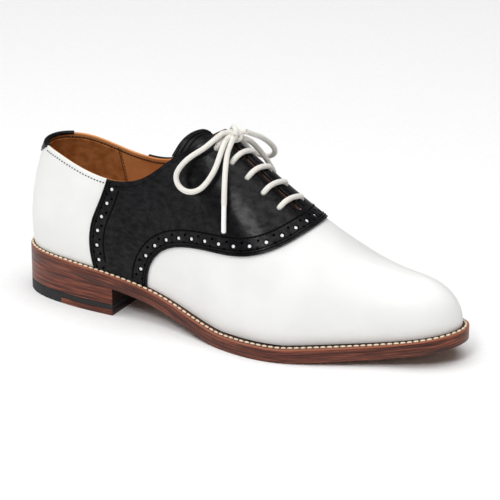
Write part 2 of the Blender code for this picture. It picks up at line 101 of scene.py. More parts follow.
# Last: station, ridge x, ridge y, ridge z, wall share, flare, crown share
LAST_RIBS = (
    (0.000, 0.050, 0.0000, 0.1370, 0.42, 0.0058, 0.63),
    (0.035, 0.064, 0.0000, 0.1410, 0.37, 0.0054, 0.60),
    (0.075, 0.086, 0.0000, 0.1410, 0.35, 0.0046, 0.54),
    (0.110, 0.113, -0.0010, 0.1365, 0.36, 0.0046, 0.70),
    (0.150, 0.150, -0.0020, 0.1108, 0.36, 0.0050, 0.82),
    (0.200, 0.200, -0.0022, 0.0752, 0.40, 0.0050, 0.70),
    (0.235, 0.232, 0.0015, 0.0576, 0.45, 0.0046, 0.62),
    (0.270, 0.257, 0.0045, 0.0512, 0.50, 0.0036, 0.58),
    (0.300, 0.2668, 0.0054, 0.0496, 0.54, 0.0022, 0.56),
)
# Topline of the collar: station, height
COLLAR = (
    (0.000, 0.0992), (0.020, 0.0970), (0.045, 0.0908), (0.070, 0.0870), (0.084, 0.0882),
    (0.095, 0.0926), (0.105, 0.1000), (0.114, 0.1074), (0.124, 0.1140), (0.136, 0.1212),
)
# Edges of the saddle from the side: x, z
SADDLE_REAR = (
    (0.0740, 0.1040), (0.0700, 0.0890), (0.0655, 0.0740), (0.0605, 0.0600), (0.0590, 0.0470),
    (0.0602, 0.0350), (0.0640, 0.0200),
)
SADDLE_FRONT = (
    (0.0995, 0.0140), (0.1002, 0.0280), (0.1035, 0.0400), (0.1130, 0.0505), (0.1290, 0.0565),
    (0.1500, 0.0588), (0.1720, 0.0603), (0.1860, 0.0640), (0.1960, 0.0688), (0.2035, 0.0738),
    (0.2110, 0.0795),
)
# Front edge of the suede grip inside the heel, from the side: x, z
GRIP_EDGE = (
    (0.0474, 0.1000), (0.0484, 0.0900), (0.0512, 0.0680), (0.0530, 0.0520), (0.0540, 0.0380),
)
# Heel tab from behind: half-width, height
HEEL_TAB = (
    (0.0166, 0.1080), (0.0160, 0.0985), (0.0145, 0.0960), (0.0115, 0.0935), (0.0075, 0.0912),
    (0.0030, 0.0895), (0.0006, 0.0880),
)
# Tongue under the facings: station, reach to each side of the ridge, air over it
TONGUE = (
    (0.214, 0.0150, 0.0150, 0.0000),
    (0.192, 0.0180, 0.0165, 0.0001),
    (0.168, 0.0195, 0.0165, 0.0003),
    (0.150, 0.0190, 0.0155, 0.0008),
    (0.140, 0.0180, 0.0145, 0.0022),
)
# The tongue's free top edge
TONGUE_TIP = (
    (0.1116, -0.0172, 0.1076), (0.1136, -0.0100, 0.1146), (0.1152, 0.0000, 0.1176),
    (0.1172, 0.0055, 0.1182), (0.1196, 0.0095, 0.1176), (0.1216, 0.0115, 0.1158),
)
# Routes of the bow
LOOP_NEAR = (
    (0.1420, -0.0092, 0.1243), (0.1405, -0.0174, 0.1221), (0.1364, -0.0226, 0.1178),
    (0.1300, -0.0272, 0.1129), (0.1252, -0.0310, 0.1073), (0.1229, -0.0332, 0.1010),
    (0.1256, -0.0345, 0.0955), (0.1328, -0.0352, 0.0932), (0.1402, -0.0346, 0.0962),
    (0.1451, -0.0318, 0.1026), (0.1473, -0.0274, 0.1094), (0.1472, -0.0218, 0.1155),
    (0.1466, -0.0170, 0.1191), (0.1456, -0.0124, 0.1208),
)
END_NEAR = (
    (0.1481, -0.0086, 0.1198), (0.1487, -0.0134, 0.1173), (0.1505, -0.0196, 0.1138),
    (0.1535, -0.0274, 0.1065), (0.1570, -0.0352, 0.0938), (0.1596, -0.0408, 0.0732),
)
LOOP_FAR = (
    (0.1523, 0.0016, 0.1238), (0.1544, 0.0090, 0.1200), (0.1552, 0.0200, 0.1142),
    (0.1562, 0.0302, 0.1062), (0.1530, 0.0378, 0.0986), (0.1460, 0.0408, 0.0950),
    (0.1395, 0.0362, 0.0980), (0.1380, 0.0272, 0.1062), (0.1388, 0.0172, 0.1142),
    (0.1394, 0.0090, 0.1198), (0.1406, 0.0036, 0.1224),
)
END_FAR = (
    (0.1495, 0.0018, 0.1193), (0.1500, 0.0090, 0.1158), (0.1512, 0.0170, 0.1095),
    (0.1540, 0.0255, 0.0990), (0.1562, 0.0335, 0.0860), (0.1578, 0.0390, 0.0730),
)
KNOT_CENTRE = Vector((0.1457, -0.0022, 0.1232))
STUB_NEAR = Vector((0.1412, -0.0074, 0.1212))
STUB_FAR = Vector((0.1442, 0.0033, 0.1201))


class Side(Enum):
    """The two sides of the shoe, as the sign of Y."""

    LATERAL = -1
    MEDIAL = 1


Rib = tuple[float, Side]  # an angle round the plan, and a side


class Cut(Enum):
    """What a cutter does to a piece."""

    KEEP = "INTERSECT"
    REMOVE = "DIFFERENCE"


class Slot(Enum):
    """The record's material slots."""

    WHITE = "white_leather"
    BLACK = "black_leather"
    SOLE = "sole_leather"
    WELT = "welt_leather"
    INSOLE = "insole_leather"
    RUBBER = "top_piece_rubber"
    LACE = "lace_cotton"


def linear(colour: str) -> tuple[float, float, float, float]:
    """Turns an sRGB hex colour to linear light.

    Args:
        colour: six hex digits after a hash mark.

    Returns:
        Red, green, blue and an alpha of one.
    """
    parts = [int(colour[i : i + 2], 16) / 255 for i in (1, 3, 5)]
    light = [p / 12.92 if p <= 0.04045 else ((p + 0.055) / 1.055) ** 2.4 for p in parts]
    return (light[0], light[1], light[2], 1.0)


def add_node(
    material: Material,
    kind: str,
    settings: dict[str, object] | None = None,
    links: dict[str | int, Socket] | None = None,
    output: str | int = 0,
) -> Socket:
    """Adds one node to a material, with its settings and links.

    Args:
        material: the material that gets the node.
        kind: the node's type, without its prefix.
        settings: values for its sockets or properties; "stops" are a colour ramp's places and colours.
        links: sockets of other nodes, by the name or number of the socket that each goes into.
        output: the name or number of the output to give back.

    Returns:
        The node's output, ready to link.
    """
    node = material.node_tree.nodes.new("ShaderNode" + kind)
    for name, value in (settings or {}).items():
        if name == "stops":
            elements = node.color_ramp.elements
            while len(elements) < len(value):
                elements.new(1.0)
            for element, (place, colour) in zip(elements, value):
                element.position, element.color = place, linear(colour)
        elif name in node.inputs:
            node.inputs[name].default_value = value
        else:
            setattr(node, name, value)
    for name, socket in (links or {}).items():
        material.node_tree.links.new(socket, node.inputs[name])
    return node.outputs[output]


@dataclass(frozen=True)
class Finish:
    """A material of the shoe; each kind of finish draws its own pattern into the shader."""

    name: str

    def material(self) -> Material:
        """Gives the material, made the first time that it is asked for.

        Returns:
            The material, shared by all pieces with this finish.
        """
        made = bpy.data.materials.get(self.name)
        if made is None:
            made = bpy.data.materials.new(self.name)
            made.use_nodes = True
            self.draw(made)
        return made

    def draw(self, material: Material) -> None:
        """Draws the pattern into a new material."""
        raise NotImplementedError

    def dress(self, material: Material, **inputs: object) -> None:
        """Sets the shader's sockets to numbers and colours, or links other nodes' sockets to them.

        Args:
            material: the material that holds the shader.
            inputs: values or sockets, by the socket's name with underscores for spaces.
        """
        shader = material.node_tree.nodes["Principled BSDF"]
        for name, value in inputs.items():
            socket = shader.inputs[name.replace("_", " ")]
            if isinstance(value, Socket):
                material.node_tree.links.new(value, socket)
            else:
                socket.default_value = value


@dataclass(frozen=True)
class CalfLeather(Finish):
    """Smooth tanned leather: fine pores over soft folds, a thin polish, and tones that drift."""

    colour: str
    deep: str
    rough: Pair
    polish: float
    shine: float = 0.5
    pore_mm: float = 1.1  # real pores are 0.2 mm, too fine for the picture, so they are drawn coarser
    pore_depth_mm: float = 0.06
    fold_mm: float = 6.0
    fold_depth_mm: float = 0.2
    tone_mm: float = 30.0
    worn: float = 0.0  # the share of the polish that is rubbed off between the ridges
    polish_rough: float = 0.31

    def draw(self, material: Material) -> None:
        """Draws pores and folds as bump, and lets tone and gloss drift.

        Args:
            material: the new material.
        """
        node = partial(add_node, material)
        place = node("TexCoord", output="Object")
        pores = node("TexVoronoi", {"feature": "SMOOTH_F1", "Scale": MM / self.pore_mm}, {"Vector": place})
        # Wrinkles run along the shoe, so the folds are drawn flatter than they are long
        drawn = node("Mapping", {"Scale": (0.75, 0.85, 1.25)}, {"Vector": place})
        folded = {"Scale": MM / self.fold_mm, "Detail": 5.0, "Roughness": 0.62}
        folds = node("TexNoise", folded, {"Vector": drawn})
        tone = node("TexNoise", {"Scale": MM / self.tone_mm, "Detail": 3.0}, {"Vector": place})
        gloss = {"From Min": 0.3, "From Max": 0.7, "To Min": self.rough[0], "To Max": self.rough[1]}
        depth = self.fold_depth_mm / MM
        soft = node("Bump", {"Strength": 0.6, "Distance": depth}, {"Height": folds})
        grain = {"Strength": 0.6, "Distance": self.pore_depth_mm / MM}
        # The polish stays on the ridges and wears thin between them
        thin, full = self.polish * (1 - self.worn), self.polish * (1 + self.worn)
        wax = {"From Min": 0.35, "From Max": 0.65, "To Min": thin, "To Max": full}
        self.dress(
            material,
            Base_Color=node("ValToRGB", {"stops": ((0.36, self.deep), (0.62, self.colour))}, {"Fac": tone}),
            Roughness=node("MapRange", gloss, {"Value": folds}),
            Normal=node("Bump", grain, {"Height": pores, "Normal": soft}),
            Coat_Weight=node("MapRange", wax, {"Value": folds}),
            Coat_Roughness=self.polish_rough,
            # It fills the grain, so its own face has only a quarter of the folds' depth
            Coat_Normal=node("Bump", {"Strength": 0.6, "Distance": depth / 4}, {"Height": folds}),
            IOR=1.48, Specular_IOR_Level=self.shine,
        )


@dataclass(frozen=True)
class BurnishedEdge(Finish):
    """Stacked sole leather, stained and burnished: thin layers like wood grain, a waxed gloss."""

    light: str
    middle: str
    dark: str
    layer_mm: float = 0.45  # fibre layers of sole leather, seen at the cut edge
    streak_mm: float = 26.0
    ridge_mm: float = 0.1

    def draw(self, material: Material) -> None:
        """Draws layers that follow the sole's underside, by the height that each point carries.

        Args:
            material: the new material.
        """
        node = partial(add_node, material)
        apart = node("SeparateXYZ", links={"Vector": node("TexCoord", output="Object")}).node.outputs
        height = node("Attribute", {"attribute_name": "layer"}, output="Fac")
        laid = node("CombineXYZ", links={"X": apart["X"], "Y": apart["Y"], "Z": height})
        # A light layer and a dark one make one cell of the noise
        streak, pair = MM / self.streak_mm, MM / self.layer_mm / 2
        stretched = node("Mapping", {"Scale": (streak, streak, pair)}, {"Vector": laid})
        grown = {"Scale": 1.0, "Detail": 6.0, "Roughness": 0.65, "Distortion": 0.25}
        layers = node("TexNoise", grown, {"Vector": stretched})
        stops = ((0.34, self.dark), (0.50, self.middle), (0.70, self.light))
        self.dress(
            material,
            Base_Color=node("ValToRGB", {"stops": stops}, {"Fac": layers}),
            Roughness=node("MapRange", {"To Min": 0.30, "To Max": 0.52}, {"Value": layers}),
            Normal=node("Bump", {"Strength": 0.35, "Distance": self.ridge_mm / MM}, {"Height": layers}),
            Coat_Weight=0.12, Coat_Roughness=0.3, Specular_IOR_Level=0.3,
        )


@dataclass(frozen=True)
class WeltStrip(Finish):
    """Vegetable-tanned welt: a paler rim that is a painted highlight, a stitch channel, and a dark line
    against the upper that is painted contact shadow.
    """

    rim: str
    channel: str
    root: str
    fibre_mm: float = 1.5
    fibre_depth_mm: float = 0.1
    wander_mm: float = 0.6  # how far the bands' edges stray
    width_mm: float = 8.0

    def draw(self, material: Material) -> None:
        """Draws bands by the distance from the rim, which the UV map carries in metres.

        Args:
            material: the new material.
        """
        node = partial(add_node, material)
        chart = node("UVMap", {"uv_map": "UVMap"})
        inset = node("SeparateXYZ", links={"Vector": chart}, output="Y")
        place = node("TexCoord", output="Object")
        fibre = node("TexNoise", {"Scale": MM / self.fibre_mm, "Detail": 4.0}, {"Vector": place})
        stray = self.wander_mm / MM
        wander = node("MapRange", {"To Min": -stray, "To Max": stray}, {"Value": fibre})
        rough = node("Math", {"operation": "ADD"}, {0: inset, 1: wander})
        band = node("MapRange", {"From Max": self.width_mm / MM}, {"Value": rough})
        # The pale rim is a painted highlight of the rounded rim, and the dark root a painted contact shadow
        # against the upper
        stops = ((0.10, self.rim), (0.22, self.channel), (0.55, self.channel), (0.75, self.root))
        self.dress(
            material,
            Base_Color=node("ValToRGB", {"stops": stops}, {"Fac": band}),
            Normal=node("Bump", {"Strength": 0.5, "Distance": self.fibre_depth_mm / MM}, {"Height": fibre}),
            Roughness=0.5, Coat_Weight=0.1,
        )


@dataclass(frozen=True)
class DullGrain(Finish):
    """A dull dark face with a fine grain: moulded rubber, or a flat strip of painted shade that stands for
    the floor of a needle groove.
    """

    colour: str
    worn: str
    shine: float = 0.5
    grain_mm: float = 0.8
    grain_depth_mm: float = 0.1
    dust_mm: float = 9.0

    def draw(self, material: Material) -> None:
        """Draws a fine grain and a little dust.

        Args:
            material: the new material.
        """
        node = partial(add_node, material)
        place = node("TexCoord", output="Object")
        grain = node("TexNoise", {"Scale": MM / self.grain_mm, "Detail": 3.0}, {"Vector": place})
        dust = node("TexNoise", {"Scale": MM / self.dust_mm, "Detail": 4.0}, {"Vector": place})
        self.dress(
            material,
            Base_Color=node("ValToRGB", {"stops": ((0.40, self.colour), (0.75, self.worn))}, {"Fac": dust}),
            Normal=node("Bump", {"Strength": 0.4, "Distance": self.grain_depth_mm / MM}, {"Height": grain}),
            Roughness=0.62, Specular_IOR_Level=self.shine,
        )


@dataclass(frozen=True)
class BraidedCotton(Finish):
    """Round braided cotton lace: strands that cross on a slant, matt and a little fluffy."""

    colour: str
    shade: str
    strands: int = 8  # strands round the lace each way, fewer than real so that they show
    strand_depth_mm: float = 0.3

    def draw(self, material: Material) -> None:
        """Draws two sets of slanted strands on the lace's own UV map, where one unit is once round.

        Args:
            material: the new material.
        """
        node = partial(add_node, material)
        chart = node("UVMap", {"uv_map": "UVMap"})
        # A slant of 45 degrees shortens the wave's period
        slant, size = math.pi / 4, WAVE_PERIOD * self.strands / math.sqrt(0.5)
        sets = {}
        for k, lean in enumerate((slant, -slant)):
            turned = node("Mapping", {"Rotation": (0.0, 0.0, lean)}, {"Vector": chart})
            wave = {"Scale": size, "Distortion": 0.6, "Detail": 1.0}
            sets[k] = node("TexWave", wave, {"Vector": turned}, "Fac")
        crossed = node("Math", {"operation": "MAXIMUM"}, sets)
        stops = ((0.25, self.shade), (0.70, self.colour))
        relief = {"Strength": 0.8, "Distance": self.strand_depth_mm / MM}
        self.dress(
            material,
            Base_Color=node("ValToRGB", {"stops": stops}, {"Fac": crossed}),
            Normal=node("Bump", relief, {"Height": crossed}),
            Roughness=0.85, Sheen_Weight=0.3, Sheen_Roughness=0.5,
        )


@dataclass(frozen=True)
class TwistedThread(Finish):
    """Waxed sewing thread: plied, so its tone changes along each stitch, with a dull shine."""

    colour: str
    shade: str
    rough: float = 0.5
    shine: float = 0.5
    ply_mm: float = 0.6
    ply_depth_mm: float = 0.1

    def draw(self, material: Material) -> None:
        """Draws the plies as a slanted wave.

        Args:
            material: the new material.
        """
        node = partial(add_node, material)
        place = node("TexCoord", output="Object")
        turned = node("Mapping", {"Rotation": (0.6, 0.5, 0.7)}, {"Vector": place})
        wave = {"Scale": WAVE_PERIOD * MM / self.ply_mm, "Distortion": 1.0}
        plies = node("TexWave", wave, {"Vector": turned}, "Fac")
        self.dress(
            material,
            Base_Color=node("ValToRGB", {"stops": ((0.2, self.shade), (0.7, self.colour))}, {"Fac": plies}),
            Normal=node("Bump", {"Strength": 0.3, "Distance": self.ply_depth_mm / MM}, {"Height": plies}),
            Roughness=self.rough, Specular_IOR_Level=self.shine,
        )


@dataclass(frozen=True)
class DippedTip(Finish):
    """A lace tip dipped in clear lacquer over white: smooth, hard and a little glossy."""

    colour: str
    shade: str
    rings: float = 5.0  # to once round the lace

    def draw(self, material: Material) -> None:
        """Draws faint rings from the pressing of the tip.

        Args:
            material: the new material.
        """
        node = partial(add_node, material)
        chart = node("UVMap", {"uv_map": "UVMap"})
        rings = node("TexNoise", {"Scale": self.rings, "Detail": 2.0}, {"Vector": chart})
        colour = node("ValToRGB", {"stops": ((0.3, self.shade), (0.6, self.colour))}, {"Fac": rings})
        self.dress(material, Base_Color=colour, Roughness=0.3, Coat_Weight=0.4)


@dataclass(frozen=True)
class StudioPaper(Finish):
    """Seamless white paper of the studio floor: matt, with a faint fibre."""

    colour: str
    shade: str
    fibre_mm: float = 4.0

    def draw(self, material: Material) -> None:
        """Draws the paper's fibre.

        Args:
            material: the new material.
        """
        node = partial(add_node, material)
        place = node("TexCoord", output="Object")
        fibre = node("TexNoise", {"Scale": MM / self.fibre_mm, "Detail": 3.0}, {"Vector": place})
        colour = node("ValToRGB", {"stops": ((0.3, self.shade), (0.6, self.colour))}, {"Fac": fibre})
        self.dress(material, Base_Color=colour, Roughness=0.9)


# Calf finished with white pigment: one even tone and a soft low sheen
WHITE_CALF = CalfLeather(
    "White calf leather", "#F0F0EF", "#EBEBE9", (0.40, 0.50), 0.10, pore_depth_mm=0.015, fold_depth_mm=0.03
)
# Calf dyed through and waxed: deep black, a soft grain, and a polish rubbed thin in places
BLACK_CALF = CalfLeather(
    "Black calf leather", "#0A090D", "#060608", (0.30, 0.50), 0.27, shine=0.05, pore_mm=1.6,
    pore_depth_mm=0.16, fold_mm=3.6, fold_depth_mm=0.9, worn=0.55,
)
# Unwaxed lining: warm and dull, with a tone that drifts
TAN_LINING = CalfLeather("Tan lining leather", "#DE9A60", "#C67E48", (0.55, 0.70), 0.0, shine=0.3)
# Leather with its nap out: no shine, and small patches where the nap lies over
TAN_SUEDE = CalfLeather(
    "Tan suede heel grip", "#BC7C48", "#A0622F", (0.80, 0.95), 0.0, shine=0.15, fold_depth_mm=0.8,
    tone_mm=6.0,
)
# Cut edge of the lining in the lacing gap, darker than the same edge at the collar: painted shade of the
# gap, a dull dark line
GAP_EDGE_SHADE = CalfLeather("Brown lining edge", "#64402A", "#4A2C1A", (0.50, 0.65), 0.0, shine=0.3)
# Heel leather made nearly black where it faces forward: painted shade of the breast, which sits in shadow;
# flat, with a trace of wax
BREAST_SHADE_PAINT = CalfLeather("Dark stained heel breast", "#2C1710", "#1F100B", (0.40, 0.55), 0.1, shine=0.3)
# Thin sock over the insole: tan, a little polished by the foot
TAN_SOCK = CalfLeather("Tan sock leather", "#B0713A", "#96592A", (0.50, 0.65), 0.05)
# Stacked leather, stained and burnished: red-brown layers under wax
SOLE_EDGE = BurnishedEdge("Burnished heel leather", "#A25C3C", "#652B1A", "#200B05")
# The same at the sole's own edge, stained darker
DARK_EDGE = BurnishedEdge("Dark burnished sole leather", "#96543A", "#562517", "#1A0904")
# The sole's sanded underside: dull, with a short fibre
SOLE_FACE = CalfLeather("Sole leather, sanded face", "#80543A", "#6C442E", (0.50, 0.68), 0.0, fold_mm=3.0)
# Welt leather: paler at its rim, a painted highlight, and dark against the upper, a painted contact shadow
WELT_TAN = WeltStrip("Vegetable-tanned welt leather", "#945236", "#54291B", "#120806")
# Moulded rubber: nearly black, and dull
RUBBER = DullGrain("Moulded black rubber", "#101011", "#1C1B1B")
# Braided cotton: bright strands, with shade between them
COTTON = BraidedCotton("Braided white cotton", "#F7F4ED", "#DCD6CA")
# Waxed thread of the welt: pale beads against the brown
CREAM_THREAD = TwistedThread("Waxed cream thread", "#F2E5CD", "#D6BE9A")
# Black thread on black leather: seen by its relief alone
BLACK_THREAD = TwistedThread("Waxed black thread", "#040404", "#020202", 0.5, 0.06)
# Grey thread: a thin broken line on the white leather; also the grey of the back seam's strip of painted
# shade
GREY_THREAD = TwistedThread("Grey sewing thread", "#545250", "#343230")
# White thread over the heel tab: a thin bright line on black
WHITE_THREAD = TwistedThread("White sewing thread", "#E4E2DC", "#C4C1B8")
# Thread of the lining, darker than its leather
TAN_THREAD = TwistedThread("Tan sewing thread", "#7C4A20", "#593213")
# Lacquered lace tip: smooth and whiter than the lace
LACE_TIP = DippedTip("Dipped lace tip", "#FEFEFE", "#F8F8F6")
# Painted shade of the groove that the stitches pull into black leather: a flat strip, black with no shine
GROOVE_SHADE_BLACK = DullGrain("Needle groove in black leather", "#020202", "#040404", 0.02)
# Painted shade of the same groove in the lining: a flat, dull brown line
GROOVE_SHADE_TAN = DullGrain("Needle groove in tan leather", "#2E1708", "#3A1E0C", 0.1)
# Matt paper: white, with no highlight
PAPER = StudioPaper("White studio paper", "#FBFBFB", "#F8F8F8")


class Spline:
    """A natural cubic curve through a row of points."""

    def __init__(self, xs: Sequence[float], ys: Sequence[float]) -> None:
        """Solves for the curve's bends.

        Args:
            xs: places along, rising.
            ys: the value at each place.
        """
        self.xs, self.ys = [float(x) for x in xs], [float(y) for y in ys]
        count = len(self.xs)
        step = np.diff(self.xs)
        system, right = np.eye(count), np.zeros(count)
        for i in range(1, count - 1):
            system[i, i - 1 : i + 2] = step[i - 1], 2 * (step[i - 1] + step[i]), step[i]
            rise = (self.ys[i + 1] - self.ys[i]) / step[i] - (self.ys[i] - self.ys[i - 1]) / step[i - 1]
            right[i] = 6 * rise
        self.bends = [float(b) for b in np.linalg.solve(system, right)]

    def __call__(self, x: float) -> float:
        """Gives the value at one place.

        Args:
            x: the place, which may lie a little beyond the ends.

        Returns:
            The curve's value there.
        """
        i = int(np.clip(np.searchsorted(self.xs, x) - 1, 0, len(self.xs) - 2))
        h = self.xs[i + 1] - self.xs[i]
        before, after = self.xs[i + 1] - x, x - self.xs[i]
        curved = (self.bends[i] * before**3 + self.bends[i + 1] * after**3) / (6 * h)
        left = self.ys[i] / h - self.bends[i] * h / 6
        right = self.ys[i + 1] / h - self.bends[i + 1] * h / 6
        return curved + left * before + right * after


def steps(start: float, stop: float, count: int) -> list[float]:
    """Gives a count of evenly spaced numbers, with both ends among them."""
    return [float(step) for step in np.linspace(start, stop, count)]


def runs_of(route: Sequence[Vector]) -> list[float]:
    """Measures how far along a route each of its points lies."""
    return [0.0, *accumulate((there - here).length for here, there in zip(route, route[1:]))]


def curve_through(rows: Sequence[Sequence[float]], count: int) -> list[Vector]:
    """Lays evenly spaced points on one smooth curve.

    Args:
        rows: the points that the curve goes through.
        count: how many points to lay.

    Returns:
        The points, from the first row to the last.
    """
    points = [Vector(row) for row in rows]
    runs = runs_of(points)
    axes = [Spline(runs, [point[k] for point in points]) for k in range(len(points[0]))]
    return [Vector([axis(run) for axis in axes]) for run in steps(0.0, runs[-1], count)]


def outline_through(rows: Sequence[Pair], count: int) -> list[Pair]:
    """Lays evenly spaced points on a smooth flat curve."""
    return [(spot.x, spot.y) for spot in curve_through(rows, count)]


def laid_grid(
    columns: int,
    rows: int,
    place: Callable[[int, int], Vector],
    chart: Callable[[int, int], Pair] | None = None,
) -> Shape:
    """Starts a grid and lays each of its points where it belongs.

    Args:
        columns: steps along the grid.
        rows: steps across it.
        place: where the point of a column and row goes.
        chart: its place on the UV map; without it the grid's own shares are used.

    Returns:
        The grid, with a UV map.
    """
    sheet = bmesh.new()
    layer = sheet.loops.layers.uv.new("UVMap")
    bmesh.ops.create_grid(sheet, x_segments=columns, y_segments=rows, size=0.5)
    spots = {v: (round((v.co.x + 0.5) * columns), round((v.co.y + 0.5) * rows)) for v in sheet.verts}
    for face in sheet.faces:
        for corner in face.loops:
            i, j = spots[corner.vert]
            corner[layer].uv = chart(i, j) if chart else (i / columns, j / rows)
    for vert, (i, j) in spots.items():
        vert.co = place(i, j)
    return sheet


def joined(shapes: Sequence[Shape]) -> Shape:
    """Puts several shapes into one.

    Args:
        shapes: the shapes, which are freed.

    Returns:
        The one shape.
    """
    whole = bmesh.new()
    for shape in shapes:
        carrier = bpy.data.meshes.new("carrier")
        shape.to_mesh(carrier)
        whole.from_mesh(carrier)
        shape.free()
        bpy.data.meshes.remove(carrier)
    return whole


def repeated(unit: Shape, spots: Sequence[Matrix]) -> Shape:
    """Repeats a small shape at many places.

    Args:
        unit: the small shape, which is freed.
        spots: where each copy goes.

    Returns:
        All the copies in one shape.
    """
    unit.verts.index_update()
    shape = np.array([(*vert.co, 1.0) for vert in unit.verts])
    faces = [[vert.index for vert in face.verts] for face in unit.faces]
    unit.free()
    laid = np.concatenate([shape @ np.array(spot).T for spot in spots])[:, :3]
    shifted = [[k + n * len(shape) for k in face] for n in range(len(spots)) for face in faces]
    carrier = bpy.data.meshes.new("carrier")
    carrier.from_pydata(laid.tolist(), [], shifted)
    whole = bmesh.new()
    whole.from_mesh(carrier)
    bpy.data.meshes.remove(carrier)
    return whole


def closed(shape: Shape, ends: bool = False) -> Shape:
    """Merges doubles and turns all faces outwards.

    Args:
        shape: the shape, which is changed.
        ends: whether it is a tube, with open ends to fill.

    Returns:
        The same shape.
    """
    bmesh.ops.remove_doubles(shape, verts=shape.verts, dist=TINY)
    if ends:
        bmesh.ops.holes_fill(shape, edges=[e for e in shape.edges if e.is_boundary], sides=0)
    else:
        bmesh.ops.dissolve_degenerate(shape, edges=shape.edges, dist=TINY / 10)
    bmesh.ops.recalc_face_normals(shape, faces=shape.faces)
    return shape


def faced(shape: Shape, rightly: Callable[[bmesh.types.BMFace], float], first: int | None = None) -> Shape:
    """Turns an open sheet over if it looks the wrong way.

    Args:
        shape: the sheet, which is changed.
        rightly: how far a face looks the right way, below zero for the wrong way.
        first: how many faces are asked, or all of them.

    Returns:
        The same sheet.
    """
    shape.normal_update()
    if sum(rightly(face) for face in list(shape.faces)[:first]) < 0:
        bmesh.ops.reverse_faces(shape, faces=shape.faces)
    shape.normal_update()
    return shape


def rounded(shape: Shape, offset: float) -> Shape:
    """Rounds the sharp edges of a closed shape.

    Args:
        shape: the shape, which is changed.
        offset: how far the rounding reaches from each edge.

    Returns:
        The same shape.
    """
    rim = [e for e in shape.edges if len(e.link_faces) == 2 and e.calc_face_angle() > ROUNDED_ANGLE]
    bmesh.ops.bevel(
        shape, geom=rim, offset=offset, segments=3, profile=0.5, affect="EDGES", material=-1,
        offset_type="OFFSET", clamp_overlap=True,
    )
    return shape


def tube(route: Sequence[Vector], radii: Sequence[float], sides: int = 14) -> Shape:
    """Draws a round lace along a route, with closed ends.

    Args:
        route: the points of its middle line.
        radii: its radius at each point.
        sides: how many faces go round it.

    Returns:
        The tube; one unit of its UV map is once round, both ways.
    """
    last = len(route) - 1
    ahead = [(route[min(k + 1, last)] - route[max(k - 1, 0)]).normalized() for k in range(len(route))]
    across = ahead[0].orthogonal().normalized()
    frames = []
    for along in ahead:
        across = (across - along * across.dot(along)).normalized()
        frames.append((across.copy(), along.cross(across)))
    runs, girth = runs_of(route), math.tau * max(radii)

    def place(i: int, j: int) -> Vector:
        """Lays one point round the lace."""
        angle = math.tau * j / sides
        return route[i] + radii[i] * (frames[i][0] * math.cos(angle) + frames[i][1] * math.sin(angle))

    def chart(i: int, j: int) -> Pair:
        """Charts the lace's length and girth."""
        return runs[i] / girth, j / sides

    return closed(laid_grid(last, sides, place, chart), ends=True)


def prism(outline: Sequence[Pair], axis: int, start: float, stop: float) -> Shape:
    """Draws a flat outline out along one axis, as a cutter.

    Args:
        outline: the outline's other two coordinates.
        axis: 0 for X, 1 for Y, 2 for Z.
        start: where the cutter begins on that axis.
        stop: where it ends.

    Returns:
        The closed cutter.
    """
    body = bmesh.new()
    places = [(*pair[:axis], start, *pair[axis:]) for pair in outline]
    face = body.faces.new([body.verts.new(place) for place in places])
    drawn = bmesh.ops.extrude_face_region(body, geom=[face])
    moved = [g for g in drawn["geom"] if isinstance(g, bmesh.types.BMVert)]
    along = Vector()
    along[axis] = stop - start
    bmesh.ops.translate(body, verts=moved, vec=along)
    bmesh.ops.recalc_face_normals(body, faces=body.faces)
    return body


def as_object(name: str, shape: Shape) -> Piece:
    """Turns a shape into an object of the scene.

    Args:
        name: the object's name.
        shape: its shape, which is freed.

    Returns:
        The object.
    """
    mesh = bpy.data.meshes.new(name)
    shape.to_mesh(mesh)
    shape.free()
    made = bpy.data.objects.new(name, mesh)
    bpy.context.scene.collection.objects.link(made)
    return made


def carved(shape: Shape, wall: float, cutters: Sequence[tuple[Shape, Cut]]) -> Shape:
    """Gives a sheet its thickness, inwards, and cuts it.

    Args:
        shape: the sheet's outer face, or a closed shape; it is freed.
        wall: the thickness, or zero for a closed shape.
        cutters: closed shapes, which are freed, with what each does.

    Returns:
        The finished shape.
    """
    body = as_object("carved", shape)
    if wall:
        thick = body.modifiers.new("wall", "SOLIDIFY")
        thick.thickness, thick.offset, thick.use_even_offset = wall, -1.0, False
    tools = []
    for tool, cut in cutters:
        tools.append(as_object("cutter", tool))
        step = body.modifiers.new("cut", "BOOLEAN")
        step.operation, step.object, step.solver = cut.value, tools[-1], "EXACT"
    bpy.context.view_layer.update()
    result = bmesh.new()
    result.from_object(body, bpy.context.evaluated_depsgraph_get())
    for used in (body, *tools):
        mesh = used.data
        bpy.data.objects.remove(used)
        bpy.data.meshes.remove(mesh)
    return result


def make_piece(
    name: str,
    shape: Shape,
    finishes: Finish | Sequence[Finish],
    slot: Slot,
    nodes: Sequence[str] = (),
    layer: Callable[[Vector], float] | None = None,
) -> Piece:
    """Finishes a piece: moves it into the part's frame, shades and dresses it, and ties it to the body.

    Args:
        name: the piece's name.
        shape: its shape in the shoe's coordinates; it is freed.
        finishes: the finish, or one for each material index.
        slot: the record's material slot; not used.
        nodes: the solids that the piece stands for.
        layer: gives each point's height in the sole, for the grain of its edge.

    Returns:
        The piece.
    """
    heights = [layer(vert.co) for vert in shape.verts] if layer else []
    bmesh.ops.translate(shape, verts=shape.verts, vec=SHOE_ORIGIN)
    piece = as_object(name, shape)
    if heights:
        piece.data.attributes.new("layer", "FLOAT", "POINT").data.foreach_set("value", heights)
    piece.data.shade_smooth()
    piece.data.set_sharp_from_angle(angle=SHARP_ANGLE)
    for finish in [finishes] if isinstance(finishes, Finish) else finishes:
        piece.data.materials.append(finish.material())
    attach(piece, "root")
    if nodes:
        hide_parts(*nodes)
    LOG.info("%s: %d faces", name, len(piece.data.polygons))
    return piece


